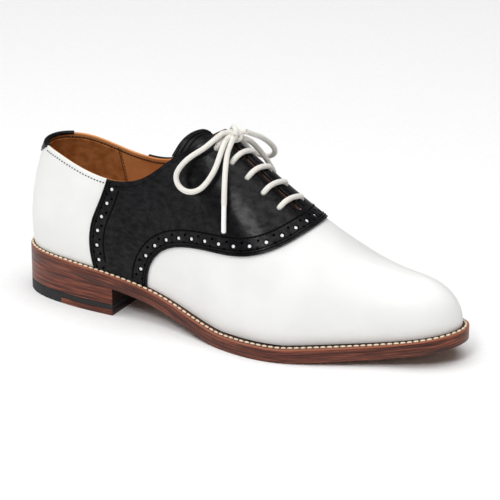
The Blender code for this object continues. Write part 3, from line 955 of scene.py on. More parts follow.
@dataclass
class Trail:
    """A line drawn on the last: its points, and the way out of the surface at each."""

    places: list[Vector] = field(default_factory=list)
    normals: list[Vector] = field(default_factory=list)

    def __len__(self) -> int:
        """Counts the points."""
        return len(self.places)

    def add(self, place: Vector, normal: Vector) -> None:
        """Adds one point at the end."""
        self.places.append(place)
        self.normals.append(normal)

    def then(self, other: Trail) -> Trail:
        """Gives this line with another one after it."""
        return Trail(self.places + other.places, self.normals + other.normals)

    def back(self) -> Trail:
        """Gives the same line from its other end."""
        return Trail(self.places[::-1], self.normals[::-1])

    def along(self, k: int) -> Vector:
        """Gives the way along the line at one point."""
        return (self.places[min(k + 1, len(self) - 1)] - self.places[max(k - 1, 0)]).normalized()

    def spaced(self, pitch: float, start: float = 0.0, stop: float = 0.0) -> Trail:
        """Lays points at an even pitch.

        Args:
            pitch: the distance between points.
            start: the length left out at the beginning.
            stop: the length left out at the end.

        Returns:
            The new line.
        """
        runs = runs_of(self.places)
        marks = np.arange(start, runs[-1] - stop + TINY, pitch)
        table = np.array([(*p, *n) for p, n in zip(self.places, self.normals)])
        laid = np.stack([np.interp(marks, runs, table[:, k]) for k in range(6)], axis=1)
        return Trail([Vector(row[:3]) for row in laid], [Vector(row[3:]).normalized() for row in laid])

    def lifted(self, lift: float) -> Trail:
        """Moves the line out of the surface."""
        return Trail([p + lift * n for p, n in zip(self.places, self.normals)], self.normals)

    def inside(self, depth: float) -> Trail:
        """Gives the line on the inner face of the leather, seen from within."""
        return Trail(self.lifted(-depth).places, [-n for n in self.normals])


@dataclass(frozen=True)
class Crease:
    """A soft trough in the leather between two places, with a low ridge on either side."""

    start: Triple
    stop: Triple
    depth: float
    width: float
    tail: float = 0.3  # the share of its length over which it fades beyond each end
    ridge: float = 1.5  # widths from the trough to the ridge
    reach: float = 3.0  # widths from the trough to flat leather

    def offset(self, place: Vector) -> float:
        """Gives how far the leather moves out at a place.

        Args:
            place: a place on the leather.

        Returns:
            The distance, below zero in the trough.
        """
        start, stop = Vector(self.start), Vector(self.stop)
        run = stop - start
        share = (place - start).dot(run) / run.length_squared
        if not -self.tail < share < 1 + self.tail:
            return 0.0
        away = (place - (start + min(1.0, max(0.0, share)) * run)).length / self.width
        if away > self.reach:
            return 0.0
        fade = math.sin(math.pi * (share + self.tail) / (1 + 2 * self.tail)) ** 2
        ridge = 0.5 * math.exp(-((away - self.ridge) ** 2) / 0.5)
        return self.depth * fade * (ridge - math.exp(-(away**2)))


CREASES = (
    Crease((0.1120, -0.0335, 0.0860), (0.1400, -0.0350, 0.0790), 0.00075, 0.0026),
    Crease((0.1220, -0.0345, 0.0780), (0.1460, -0.0360, 0.0735), 0.00060, 0.0020),
    Crease((0.1320, -0.0330, 0.0880), (0.1520, -0.0335, 0.0830), 0.00060, 0.0022),
    Crease((0.1620, -0.0270, 0.0880), (0.1760, -0.0310, 0.0740), 0.00022, 0.0032),
    Crease((0.1180, 0.0290, 0.0840), (0.1440, 0.0300, 0.0760), 0.00050, 0.0022),
    Crease((0.1340, 0.0290, 0.0870), (0.1560, 0.0300, 0.0800), 0.00045, 0.0020),
)


@dataclass(frozen=True)
class Last:
    """The last that the shoe is built on, and the sole's outline under it.

    A place on it is given by an angle round the plan, which is 0 at the heel and pi at the toe, by a side,
    and by a share of the way up the rib there, from the feather line to the ridge.
    """

    length: float = 0.300
    toe_swing: float = 0.006
    outsole_thick: float = 0.0054
    welt_thick: float = 0.0031
    wall: float = 0.0022
    facing_top: float = 0.137
    throat: float = 0.192
    facing_gap: float = 0.0026
    heel_round: float = 0.0690
    toe_round: float = 0.0530
    ridge_stop: float = 0.288
    eyelet_first: float = 0.139
    eyelet_step: float = 0.011
    eyelet_rows: int = 5
    eyelet_reach: float = 0.0115
    eyelet_skew: float = 0.003
    eyelet: float = 0.0022
    eyelet_punch: float = 0.006  # how far an eyelet's punch reaches each way
    saddle_thick: float = 0.0012
    saddle_rear: float = 0.0694  # x where the saddle's rear edge meets the collar
    samples: int = 240  # steps up a rib where a height is looked for

    def turn_at(self, station: float) -> float:
        """Gives the angle round the plan of a station along the sole."""
        return math.acos(max(-1.0, min(1.0, 1 - 2 * station / self.length)))

    def station_at(self, turn: float) -> float:
        """Gives the station of an angle round the plan."""
        return self.length / 2 * (1 - math.cos(turn))

    @cached_property
    def shares(self) -> list[float]:
        """The shares of a rib where a height is looked for."""
        return [k / self.samples for k in range(self.samples + 1)]

    @cached_property
    def half_widths(self) -> dict[Side, Spline]:
        """The sole's half-width over the sine of the angle, for each side."""
        turns = [0.0, *[self.turn_at(row[0]) for row in SOLE_PLAN], math.pi]
        made = {}
        for side, k in ((Side.LATERAL, 1), (Side.MEDIAL, 2)):
            inner = [row[k] / math.sin(self.turn_at(row[0])) for row in SOLE_PLAN]
            made[side] = Spline(turns, [self.heel_round, *inner, self.toe_round])
        return made

    @cached_property
    def margin(self) -> Spline:
        """The welt's margin by angle."""
        return Spline([self.turn_at(row[0]) for row in SOLE_PLAN], [row[3] for row in SOLE_PLAN])

    @cached_property
    def underside(self) -> Spline:
        """The height of the sole's underside by station."""
        return Spline(*zip(*SOLE_PROFILE))

    @cached_property
    def topline(self) -> Spline:
        """The collar's height by station."""
        return Spline(*zip(*COLLAR))

    @cached_property
    def rib_tables(self) -> list[Spline]:
        """The ribs' values by angle, in the order of their table."""
        turns = [self.turn_at(row[0]) for row in LAST_RIBS]
        return [Spline(turns, [row[k] for row in LAST_RIBS]) for k in range(1, 7)]

    def edge(self, turn: float, side: Side) -> Vector:
        """Gives a point on the sole's edge, in plan."""
        x, width = self.station_at(turn), side.value * math.sin(turn) * self.half_widths[side](turn)
        return Vector((x, self.toe_swing * (x / self.length) ** 2 + width))

    @lru_cache(maxsize=None)
    def outward(self, turn: float, side: Side) -> Vector:
        """Gives the way out of the sole, square to its edge in plan.

        Args:
            turn: the angle round the plan.
            side: the shoe's side.

        Returns:
            The x and y of a unit vector.
        """
        if turn < SLOPE_STEP or turn > math.pi - SLOPE_STEP:
            return Vector((-1.0 if turn < 1 else 1.0, 0.0))
        along = self.edge(turn + SLOPE_STEP, side) - self.edge(turn - SLOPE_STEP, side)
        normal = Vector((along.y, -along.x)).normalized()
        return normal if normal.y * side.value > 0 or abs(normal.y) < 1e-3 else -normal

    def inset_edge(self, turn: float, side: Side, inset: float) -> Vector:
        """Gives a point inside the sole's edge, in plan."""
        return self.edge(turn, side) - inset * self.outward(turn, side)

    def sole_z(self, x: float) -> float:
        """Gives the height of the outsole's underside."""
        return max(0.0, self.underside(x))

    def sole_top(self, x: float) -> float:
        """Gives the height of the outsole's upper face."""
        return self.sole_z(x) + self.outsole_thick

    def welt_top(self, x: float) -> float:
        """Gives the height of the welt's upper face."""
        return self.sole_top(x) + GAP + self.welt_thick

    @lru_cache(maxsize=None)
    def rib(self, turn: float, side: Side) -> tuple[Vector, Vector, Vector, Vector]:
        """Gives the four control points of one rib.

        Args:
            turn: the angle round the plan.
            side: the shoe's side.

        Returns:
            The points, from the feather line up to the ridge.
        """
        foot = self.inset_edge(turn, side, self.margin(turn))
        low = Vector((foot.x, foot.y, self.welt_top(foot.x) + GAP))
        crest = min(turn, self.turn_at(self.ridge_stop))
        ridge, shape = self.rib_tables[:3], [table(turn) for table in self.rib_tables[3:]]
        top = Vector([table(crest) for table in ridge])
        run = Vector((low.x - top.x, low.y - top.y, 0.0))
        swell = self.outward(turn, side).to_3d() * shape[1]
        stand = Vector((0.0, 0.0, shape[0] * (top.z - low.z)))
        return low, low + swell + stand, top + shape[2] * run, top

    def on_rib(self, turn: float, side: Side, share: float) -> Vector:
        """Gives a point on a rib, at a share of the way up."""
        (a, b, c, d), rest = self.rib(turn, side), 1 - share
        return rest**3 * a + 3 * rest**2 * share * b + 3 * rest * share**2 * c + share**3 * d

    @lru_cache(maxsize=None)
    def rib_end(self, turn: float, side: Side) -> float:
        """Gives how far up its rib the upper goes: to the topline, the lacing gap or the ridge.

        Args:
            turn: the angle round the plan.
            side: the shoe's side.

        Returns:
            The share of the way up.
        """
        station = self.station_at(turn)
        if station >= self.throat - TINY:
            return 1.0
        places = [self.on_rib(turn, side, share) for share in self.shares]
        reach = [-(p.xy - places[-1].xy).length for p in places]
        end = float(np.interp(-self.facing_gap, reach, self.shares))
        if station < self.facing_top - TINY:
            end = min(end, float(np.interp(self.topline(station), [p.z for p in places], self.shares)))
        return end

    def skin(self, turn: float, side: Side, share: float, lift: float = 0.0) -> Vector:
        """Gives a point on the last, moved out square to it by lift."""
        return self.on_rib(turn, side, share) + lift * self.normal(turn, side, share)

    def normal(self, turn: float, side: Side, share: float) -> Vector:
        """Gives the way out of the last.

        Args:
            turn: the angle round the plan.
            side: the shoe's side.
            share: the share of the way up.

        Returns:
            A unit vector.
        """
        turn = max(turn, SLOPE_STEP)  # at the very back a step on one side only
        up = self.on_rib(turn, side, share) - self.on_rib(turn, side, share - SLOPE_STEP)
        along = self.on_rib(turn + SLOPE_STEP, side, share) - self.on_rib(turn - SLOPE_STEP, side, share)
        return -side.value * along.cross(up).normalized()

    def off_ridge(self, station: float, reach: float, lift: float) -> Vector:
        """Gives a point on the last at a signed distance in plan from the ridge.

        Args:
            station: where along the sole.
            reach: the distance, below zero to the lateral side.
            lift: how far off the last.

        Returns:
            The point.
        """
        turn, side = self.turn_at(station), Side.MEDIAL if reach > 0 else Side.LATERAL
        top = self.rib(turn, side)[3].xy
        gaps = [-(self.on_rib(turn, side, share).xy - top).length for share in self.shares]
        return self.skin(turn, side, float(np.interp(-abs(reach), gaps, self.shares)), lift)

    def on_facing(self, station: float, reach: float, lift: float) -> Vector:
        """Gives a point in a row of eyelets, which runs a little forward from the lateral side."""
        return self.off_ridge(station + self.eyelet_skew * (reach / self.eyelet_reach + 1) / 2, reach, lift)

    def turns(self, first: float, stop: float, count: int) -> list[float]:
        """Gives angles between two stations, with one exactly at each end of the lacing gap.

        Args:
            first: the station where they begin.
            stop: the station where they end.
            count: how many steps they make.

        Returns:
            The angles, rising.
        """
        made = steps(self.turn_at(first), self.turn_at(stop), count + 1)
        for mark in (self.turn_at(self.facing_top), self.turn_at(self.throat)):
            if made[0] < mark < made[-1]:
                made[min(range(count + 1), key=lambda k: abs(made[k] - mark))] = mark
        return made

    def sheet(
        self, first: float, stop: float, columns: int, rows: int, lift: float = 0.0, start: float = 0.0,
        whole: bool = False,
    ) -> Shape:
        """Lays leather on both sides of the last.

        Args:
            first: the station where it begins.
            stop: the station where it ends.
            columns: steps along each side.
            rows: steps up each side.
            lift: how far off the last it lies.
            start: the share of the height where it begins.
            whole: whether it goes on over the collar and the lacing gap.

        Returns:
            The sheet, facing out.
        """
        turns = self.turns(first, stop, columns)
        halves = []
        for side in Side:

            def place(i: int, j: int, side: Side = side) -> Vector:
                """Lays one point of this side."""
                end = 1.0 if whole else self.rib_end(turns[i], side)
                return self.on_rib(turns[i], side, end * (start + (1 - start) * j / rows))

            halves.append(laid_grid(columns, rows, place))
        made = faced(
            closed(joined(halves)), lambda f: f.normal.y * f.calc_center_median().y * f.calc_area()
        )
        for vert, normal in [(v, v.normal.copy()) for v in made.verts]:
            vert.co += (lift + sum(crease.offset(vert.co) for crease in CREASES)) * normal
        return made

    @cached_property
    def surface(self) -> BVHTree:
        """The whole last, to find places on it."""
        shape = self.sheet(0.0, self.length, columns=180, rows=70, whole=True)
        found = BVHTree.FromBMesh(shape)
        shape.free()
        return found

    def side_trail(self, rows: Sequence[Pair], side: Side) -> Trail:
        """Draws on one side of the last a line that is given from the side of the shoe.

        Args:
            rows: x and z of points on the line.
            side: the shoe's side.

        Returns:
            The part of the line that lies on the upper.
        """
        trail = Trail()
        for x, z in outline_through(rows, 260):
            start, way = Vector((x, side.value * FAR, z)), Vector((0.0, -side.value, 0.0))
            place, normal, _, _ = self.surface.ray_cast(start, way)
            if place is not None and place.z < self.collar_z(place.x, side):
                trail.add(place, normal)
        return trail

    @lru_cache(maxsize=None)
    def collar_line(self, side: Side) -> tuple[list[float], list[float], list[float]]:
        """Follows the collar on one side, up to the lacing gap.

        Args:
            side: the shoe's side.

        Returns:
            The angles, and the x and z of the collar's edge at each.
        """
        turns = steps(0.0, self.turn_at(self.facing_top) - SLOPE_STEP, 90)
        places = [self.on_rib(t, side, self.rib_end(t, side)) for t in turns]
        return turns, [p.x for p in places], [p.z for p in places]

    def collar_z(self, x: float, side: Side) -> float:
        """Gives the collar's height at an x, and a great height in front of it."""
        _, xs, zs = self.collar_line(side)
        return 1.0 if x > xs[-1] else float(np.interp(x, xs, zs))

    def collar_turn(self, x: float, side: Side) -> float:
        """Gives the angle of the rib that meets the collar at an x."""
        turns, xs, _ = self.collar_line(side)
        return float(np.interp(x, xs, turns))

    def beside(self, line: Trail, distance: float) -> Trail:
        """Moves a line sideways on the last.

        Args:
            line: the line.
            distance: how far it moves to the left of its way along, as seen from outside.

        Returns:
            The new line.
        """
        trail = Trail()
        for k, (place, normal) in enumerate(zip(line.places, line.normals)):
            trail.add(*self.surface.find_nearest(place + distance * normal.cross(line.along(k)))[:2])
        return trail

    def edge_trail(self, turns: Sequence[float], side: Side, below: float) -> Trail:
        """Draws a line at a distance below the upper's top edge.

        Args:
            turns: the ribs that it crosses.
            side: the shoe's side.
            below: the distance along each rib.

        Returns:
            The line.
        """
        trail, step = Trail(), 0.01
        for turn in turns:
            end = self.rib_end(turn, side)
            slope = (self.on_rib(turn, side, end) - self.on_rib(turn, side, end - step)).length / step
            share = end - below / slope
            trail.add(self.skin(turn, side, share), self.normal(turn, side, share))
        return trail

    def rolled_edge(self, ribs: Sequence[Rib], outer: float, inner: float, rise: float) -> Shape:
        """Folds leather over the top edge of the upper.

        Args:
            ribs: the ribs that the edge crosses.
            outer: the fold's outer face, off the last.
            inner: its inner face.
            rise: how far it rises over the edge.

        Returns:
            The closed fold.
        """
        sides, step = 12, 1e-3
        sections = []
        for turn, side in ribs:
            end = self.rib_end(turn, side)
            up = (self.on_rib(turn, side, end) - self.on_rib(turn, side, end - step)).normalized()
            sections.append((self.skin(turn, side, end, outer), self.skin(turn, side, end, inner), up))

        def place(i: int, j: int) -> Vector:
            """Lays one point round the fold."""
            (a, b, up), angle = sections[i], math.tau * j / sides
            return (a + b) / 2 + (a - b) / 2 * math.cos(angle) + up * rise * math.sin(angle)

        return closed(laid_grid(len(sections) - 1, sides, place), ends=True)

    def eyelet_stations(self) -> list[float]:
        """Gives the stations of the eyelets."""
        return [self.eyelet_first + self.eyelet_step * row for row in range(self.eyelet_rows)]

    def eyelet_punches(self) -> Shape:
        """Makes the ten punches that cut the eyelets.

        Returns:
            The punches in one shape.
        """
        cutter, probe, deep = bmesh.new(), 0.001, self.eyelet_punch
        for station in self.eyelet_stations():
            for reach in (-self.eyelet_reach, self.eyelet_reach):
                low, high = self.on_facing(station, reach, 0.0), self.on_facing(station, reach, probe)
                punch(cutter, low, (high - low).normalized(), self.eyelet, -deep, deep, sides=20)
        return cutter


def upright(normal: Vector) -> Matrix:
    """Gives the turn that stands a shape's Z along a normal."""
    return normal.to_track_quat("Z", "Y").to_matrix().to_4x4()


def punch(
    cutter: Shape, place: Vector, normal: Vector, radius: float, low: float, high: float, sides: int
) -> None:
    """Adds a round punch to a cutter, square to the leather.

    Args:
        cutter: the shape that gets the punch.
        place: a place on the last.
        normal: the way out of it.
        radius: the hole's radius.
        low: how far off the last the punch begins.
        high: how far off it ends.
        sides: how many faces go round it.
    """
    bmesh.ops.create_cone(
        cutter, cap_ends=True, segments=sides, radius1=radius, radius2=radius, depth=high - low,
        matrix=Matrix.Translation(place + (low + high) / 2 * normal) @ upright(normal),
    )


def stitched(trails: Sequence[Trail], pitch: float, size: Triple, sink: float = 0.35) -> Shape:
    """Sews stitches along lines.

    Args:
        trails: the lines, on the face of the leather.
        pitch: from one stitch to the next.
        size: a stitch's length, width and height.
        sink: the share of its height that is pulled into the leather.

    Returns:
        All the stitches in one shape.
    """
    unit = bmesh.new()
    bmesh.ops.create_uvsphere(unit, u_segments=6, v_segments=5, radius=0.5)
    # The sphere's poles point along the stitch
    bmesh.ops.rotate(unit, verts=unit.verts, matrix=Matrix.Rotation(math.pi / 2, 3, "Y"))
    bmesh.ops.scale(unit, verts=unit.verts, vec=size)
    spots = []
    for trail in trails:
        even = trail.spaced(pitch, pitch / 2)
        for k in range(len(even)):
            along, out = even.along(k), even.normals[k]
            across = out.cross(along).normalized()
            turned = Matrix((along, across, along.cross(across))).transposed().to_4x4()
            spots.append(Matrix.Translation(even.places[k] + out * size[2] * (0.5 - sink)) @ turned)
    return repeated(unit, spots)


def ribbon(trails: Sequence[Trail], width: float) -> Shape:
    """Lays narrow flat strips along lines.

    Args:
        trails: the lines.
        width: the strips' width.

    Returns:
        The strips in one shape, facing out.
    """
    strips = []
    for trail in trails:
        even = trail.spaced(STRIP_STEP)

        def place(i: int, j: int, even: Trail = even) -> Vector:
            """Lays one point across the strip."""
            across = even.normals[i].cross(even.along(i)).normalized()
            return even.places[i] + across * width * (j / 2 - 0.5)

        out = even.normals[0]
        strips.append(faced(laid_grid(len(even) - 1, 2, place), lambda f, out=out: f.normal.dot(out), 2))
    return joined(strips)


def marked(shape: Shape, second: Callable[[Vector], bool]) -> Shape:
    """Gives some faces of a shape its second finish.

    Args:
        shape: the shape, which is changed.
        second: whether a face with this normal gets the second finish.

    Returns:
        The same shape.
    """
    shape.normal_update()
    for face in shape.faces:
        face.material_index = int(second(face.normal))
    return shape


@dataclass
class Sole:
    """Outsole, stitched welt and insole."""

    last: Last
    columns: int = 90
    rows: int = 8
    welt_width: float = 0.012
    insole_thick: float = 0.0026
    insole_round: float = 0.0008
    edge_round: float = 0.0007
    channel: Pair = (0.0025, 0.0045)  # edges of the stitch channel, from the rim
    stitch_place: float = 0.45  # the share of the welt's margin from its rim to the stitches
    stitch_pitch: float = 0.0040
    stitch: Triple = (0.0034, 0.0017, 0.0013)

    def plate(self, stop: float, inset: Curve, low: Curve, high: Curve, rounding: float) -> Shape:
        """Cuts a plate to the sole's outline.

        Args:
            stop: the station where it is cut off square, or the sole's length.
            inset: how far inside the sole's edge it lies, by angle.
            low: its lower face, by station.
            high: its upper face.
            rounding: how far its edges are rounded.

        Returns:
            The closed plate.
        """
        turns = steps(0.0, self.last.turn_at(stop), self.columns + 1)
        rims = [[self.last.inset_edge(t, side, inset(t)) for side in Side] for t in turns]

        def place(i: int, j: int) -> Vector:
            """Lays one point of the lower face."""
            spot = rims[i][0].lerp(rims[i][1], j / self.rows)
            return Vector((spot.x, spot.y, low(spot.x)))

        plate = closed(laid_grid(self.columns, self.rows, place))
        drawn = bmesh.ops.extrude_face_region(plate, geom=list(plate.faces))
        for vert in drawn["geom"]:
            if isinstance(vert, bmesh.types.BMVert):
                vert.co.z = high(vert.co.x)
        bmesh.ops.recalc_face_normals(plate, faces=plate.faces)
        return rounded(plate, rounding)

    def ring_ribs(self) -> list[Rib]:
        """Gives the angles all the way round the sole, back to the first."""
        turns = steps(0.0, math.pi, self.columns + 1)
        return [(t, Side.LATERAL) for t in turns] + [(t, Side.MEDIAL) for t in turns[::-1][1:]]

    def welt_ring(self) -> Shape:
        """Makes the welt: a strip with a rounded rim.

        Returns:
            The closed ring; its UV map holds the distance from the rim.
        """
        thick, r, width = self.last.welt_thick, self.edge_round, self.welt_width
        section = (
            (0.0, 0.0), (0.0, thick - r), (0.3 * r, thick - 0.3 * r), (r, thick),
            *[(inset, thick) for inset in self.channel], (width, thick), (width, 0.0), (0.0, 0.0),
        )
        ribs = self.ring_ribs()
        runs = steps(0.0, 1.0, len(ribs))

        def place(i: int, j: int) -> Vector:
            """Lays one point of the welt's section."""
            spot = self.last.inset_edge(*ribs[i], section[j][0])
            return Vector((spot.x, spot.y, self.last.sole_top(spot.x) + GAP / 2 + section[j][1]))

        def chart(i: int, j: int) -> Pair:
            """Charts the way round and the distance from the rim."""
            return runs[i], section[j][0]

        ring = closed(laid_grid(len(ribs) - 1, len(section) - 1, place, chart))
        return marked(ring, lambda normal: normal.z > 0.3)

    def stitch_line(self) -> Trail:
        """Draws the welt's stitch line all the way round.

        Returns:
            The line on the welt's upper face.
        """
        trail = Trail()
        for turn, side in self.ring_ribs():
            spot = self.last.inset_edge(turn, side, self.stitch_place * self.last.margin(turn))
            place = Vector((spot.x, spot.y, self.last.welt_top(spot.x) - GAP / 2))
            trail.add(place, UP)
        return trail

    def build(self) -> list[Piece]:
        """Builds the sole.

        Returns:
            Its pieces.
        """
        last = self.last

        def layer(place: Vector) -> float:
            """Gives a point's height over the sole's underside."""
            return place.z - last.sole_z(place.x)

        outsole = self.plate(last.length, lambda turn: 0.0, last.sole_z, last.sole_top, self.edge_round)
        outsole = marked(outsole, lambda normal: normal.z < -0.8)
        welt = self.welt_ring()
        stitches = stitched([self.stitch_line()], self.stitch_pitch, self.stitch)
        insole = self.plate(
            last.length, lambda turn: last.margin(turn) + last.wall + 2 * GAP,
            lambda x: last.welt_top(x) + GAP, lambda x: last.welt_top(x) + GAP + self.insole_thick,
            self.insole_round,
        )
        return [
            make_piece("outsole_leather", outsole, (DARK_EDGE, SOLE_FACE), Slot.SOLE, ["outsole"], layer),
            make_piece("welt_strip", welt, (DARK_EDGE, WELT_TAN), Slot.WELT, ["welt"], layer),
            make_piece("welt_stitches", stitches, CREAM_THREAD, Slot.WELT),
            make_piece("insole_sock", insole, TAN_SOCK, Slot.INSOLE, ["insole"]),
        ]


@dataclass
class Heel:
    """Stacked leather lifts over a rubber top piece with a leather insert."""

    sole: Sole
    breast: float = 0.076
    lifts: int = 3
    top_piece: float = 0.0072
    insert: float = 0.0036
    insert_start: float = 0.036
    lift_round: float = 0.0003
    top_round: float = 0.0006
    seam: float = 0.00012

    def block(self, base: float, top: Curve, rounding: float) -> Shape:
        """Cuts one layer of the heel."""
        return self.sole.plate(self.breast, lambda turn: 0.0, lambda x: base, top, rounding)

    def ahead(self, start: float, height: float) -> Shape:
        """Gives all the space ahead of a station, up to a height."""
        return prism([(start, -FAR), (FAR, -FAR), (FAR, height), (start, height)], 1, -FAR, FAR)

    def leather(self, name: str, shape: Shape, node: str) -> Piece:
        """Makes a leather layer, with its breast darkened by painted shade."""
        shape = marked(shape, lambda normal: normal.x > 0.9)
        return make_piece(name, shape, (SOLE_EDGE, BREAST_SHADE_PAINT), Slot.SOLE, [node], lambda p: p.z)

    def build(self) -> list[Piece]:
        """Builds the heel.

        Returns:
            Its pieces.
        """
        last = self.sole.last
        step = (last.sole_z(self.breast) - self.top_piece) / self.lifts
        pieces = []
        for k in range(self.lifts):
            base = self.top_piece + GAP + step * k
            top = last.sole_z if k == self.lifts - 1 else lambda x, base=base: base + step
            shape = self.block(base, lambda x, top=top: top(x) - self.seam, self.lift_round)
            pieces.append(self.leather(f"heel_lift_leather_{k + 1}", shape, f"heel_lift_{k + 1}"))
        notch = self.ahead(self.insert_start, self.insert + GAP)
        block = self.block(0.0, lambda x: self.top_piece, self.top_round)
        rubber = carved(block, 0.0, [(notch, Cut.REMOVE)])
        pieces.append(make_piece("heel_top_rubber", rubber, RUBBER, Slot.RUBBER, ["heel_top_piece"]))
        front = self.ahead(self.insert_start + GAP, FAR)
        block = self.block(0.0, lambda x: self.insert, self.top_round)
        leather = carved(block, 0.0, [(front, Cut.KEEP)])
        pieces.append(self.leather("heel_insert_leather", leather, "heel_top_insert"))
        return pieces


@dataclass
class Upper:
    """White vamp and quarters, tan lining, and the rolled edge and stitches of the collar."""

    last: Last
    leather: float = 0.0012
    slip: float = 0.0001  # between the leather and its lining, and between the lining and its stitches
    roll_rise: float = 0.0006
    lining_edge: float = 0.0006  # how far inside the last the lining's edge begins
    edge_short: float = 0.001  # how far short of the lacing gap's ends the lining's edges stop
    collar_inset: float = 0.0024
    collar_pitch: float = 0.0022
    collar_stitch: Triple = (0.0015, 0.0009, 0.0006)
    lining_inset: float = 0.0023
    lining_pitch: float = 0.0024
    lining_stitch: Triple = (0.0018, 0.0007, 0.0006)
    # Widths of the flat strips of painted shade along the lining's stitch lines
    rim_groove: float = 0.0012
    seam_groove: float = 0.0006
    back_gap: float = 0.0165  # half-width behind, where the heel tab lies
    grip_front: float = 0.068  # x at the collar of the heel grip's blank, which is then cut along GRIP_EDGE
    grip_back: float = -0.02  # x behind the grip
    grip_foot: float = 0.12  # the share of its height where the grip begins
    grip_below: float = 0.0008  # from the lining's stitches down to the grip
    grip_thick: float = 0.0008
    grip_inset: float = 0.0016

    def quarter_ribs(self, side: Side) -> list[float]:
        """Gives the ribs of the collar from the heel to the saddle."""
        return steps(0.0, self.last.collar_turn(self.last.saddle_rear, side), 50)

    def around_heel(self) -> list[Rib]:
        """Gives the collar's ribs from the lateral saddle round the heel to the medial one."""
        lateral = [(t, Side.LATERAL) for t in self.quarter_ribs(Side.LATERAL)[::-1]]
        return lateral + [(t, Side.MEDIAL) for t in self.quarter_ribs(Side.MEDIAL)[1:]]

    def collar_stitches(self) -> list[Trail]:
        """Draws the quarters' stitch lines, which stop at the heel tab.

        Returns:
            A line for each side.
        """
        lines = []
        for side in Side:
            trail = self.last.edge_trail(self.quarter_ribs(side), side, self.collar_inset)
            kept = [k for k, p in enumerate(trail.places) if abs(p.y) > self.back_gap]
            lines.append(Trail([trail.places[k] for k in kept], [trail.normals[k] for k in kept]))
        return lines

    def punched(self, sheet: Shape, wall: float) -> Shape:
        """Gives a sheet its thickness, and cuts the eyelets in it."""
        return carved(sheet, wall, [(self.last.eyelet_punches(), Cut.REMOVE)])

    def build(self) -> list[Piece]:
        """Builds the upper.

        Returns:
            Its pieces.
        """
        last = self.last
        white = self.punched(last.sheet(0.0, last.length, 150, 56), self.leather)
        pieces = [make_piece("vamp_and_quarters", white, WHITE_CALF, Slot.WHITE, ["upper"])]
        inner = last.sheet(0.0, last.length, 110, 40, -self.leather - self.slip)
        lining = self.punched(inner, last.wall - self.leather - self.slip)
        pieces.append(make_piece("lining", lining, TAN_LINING, Slot.INSOLE))
        roll = last.rolled_edge(self.around_heel(), 0.0, -self.leather, self.roll_rise)
        pieces.append(make_piece("collar_roll", roll, WHITE_CALF, Slot.WHITE))
        for side in Side:
            for name, first, stop, finish in (
                ("collar_lining_edge", 0.0, last.facing_top, TAN_LINING),
                # The lining's edge keeps its own tan at the collar; in the lacing gap it is painted darker,
                # as shade
                ("facing_lining_edge", last.facing_top, last.throat, GAP_EDGE_SHADE),
            ):
                ribs = [(turn, side) for turn in last.turns(first, stop - self.edge_short, 90)]
                edge = last.rolled_edge(ribs, -self.lining_edge, -last.wall, self.roll_rise)
                pieces.append(make_piece(f"{name}_{side.name.lower()}", edge, finish, Slot.INSOLE))
        sewn = stitched(self.collar_stitches(), self.collar_pitch, self.collar_stitch)
        pieces.append(make_piece("collar_stitches", sewn, GREY_THREAD, Slot.WHITE))
        grip = make_piece("heel_grip_suede", self.heel_grip(), TAN_SUEDE, Slot.INSOLE)
        return [*pieces, grip, *self.lining_seams()]

    def heel_grip(self) -> Shape:
        """Makes the suede grip inside the heel.

        Returns:
            Its shape.
        """
        last, rows = self.last, 24
        ribs = [
            (turn, side) for side in Side
            for turn in steps(0.0, last.collar_turn(self.grip_front, side), 40)[1:][:: side.value]
        ]
        tops = []
        for turn, side in ribs:
            top = last.edge_trail([turn], side, self.lining_inset + self.grip_below).places[0].z
            heights = [last.on_rib(turn, side, share).z for share in last.shares]
            tops.append(float(np.interp(top, heights, last.shares)))

        def place(i: int, j: int) -> Vector:
            """Lays one point of the grip's inner face."""
            share = tops[i] * (self.grip_foot + (1 - self.grip_foot) * j / rows)
            return last.skin(*ribs[i], share, -last.wall - self.grip_thick)

        sheet = closed(laid_grid(len(ribs) - 1, rows, place))
        sheet = faced(sheet, lambda f: -f.normal.y * f.calc_center_median().y)
        edge = outline_through(GRIP_EDGE, 40)
        back = ((edge[-1][0], 0.0), (self.grip_back, 0.0), (self.grip_back, FAR), (edge[0][0], FAR))
        return carved(sheet, self.grip_thick, [(prism([*edge, *back], 1, -FAR, FAR), Cut.KEEP)])

    def lining_seams(self) -> list[Piece]:
        """Makes the stitch lines of the lining and of the grip.

        Returns:
            The flat strips of painted groove shade, and the stitches.
        """
        last, face = self.last, self.last.wall + self.slip
        rims, seams, rows = [], [], []
        for side in Side:
            turns = last.turns(0.0, last.facing_top, 100)[:-1]
            rims.append(last.edge_trail(turns, side, self.lining_inset).inside(face))
            seam = last.side_trail(GRIP_EDGE, side).back()
            seams.append(seam.inside(face))
            rows.append(last.beside(seam, side.value * self.grip_inset).inside(last.wall + self.grip_thick))
        groove = joined([ribbon(rims, self.rim_groove), ribbon(seams, self.seam_groove)])
        sewn = stitched([*rims, *rows], self.lining_pitch, self.lining_stitch)
        return [
            make_piece("lining_groove", groove, GROOVE_SHADE_TAN, Slot.INSOLE),
            make_piece("lining_stitches", sewn, TAN_THREAD, Slot.INSOLE),
        ]


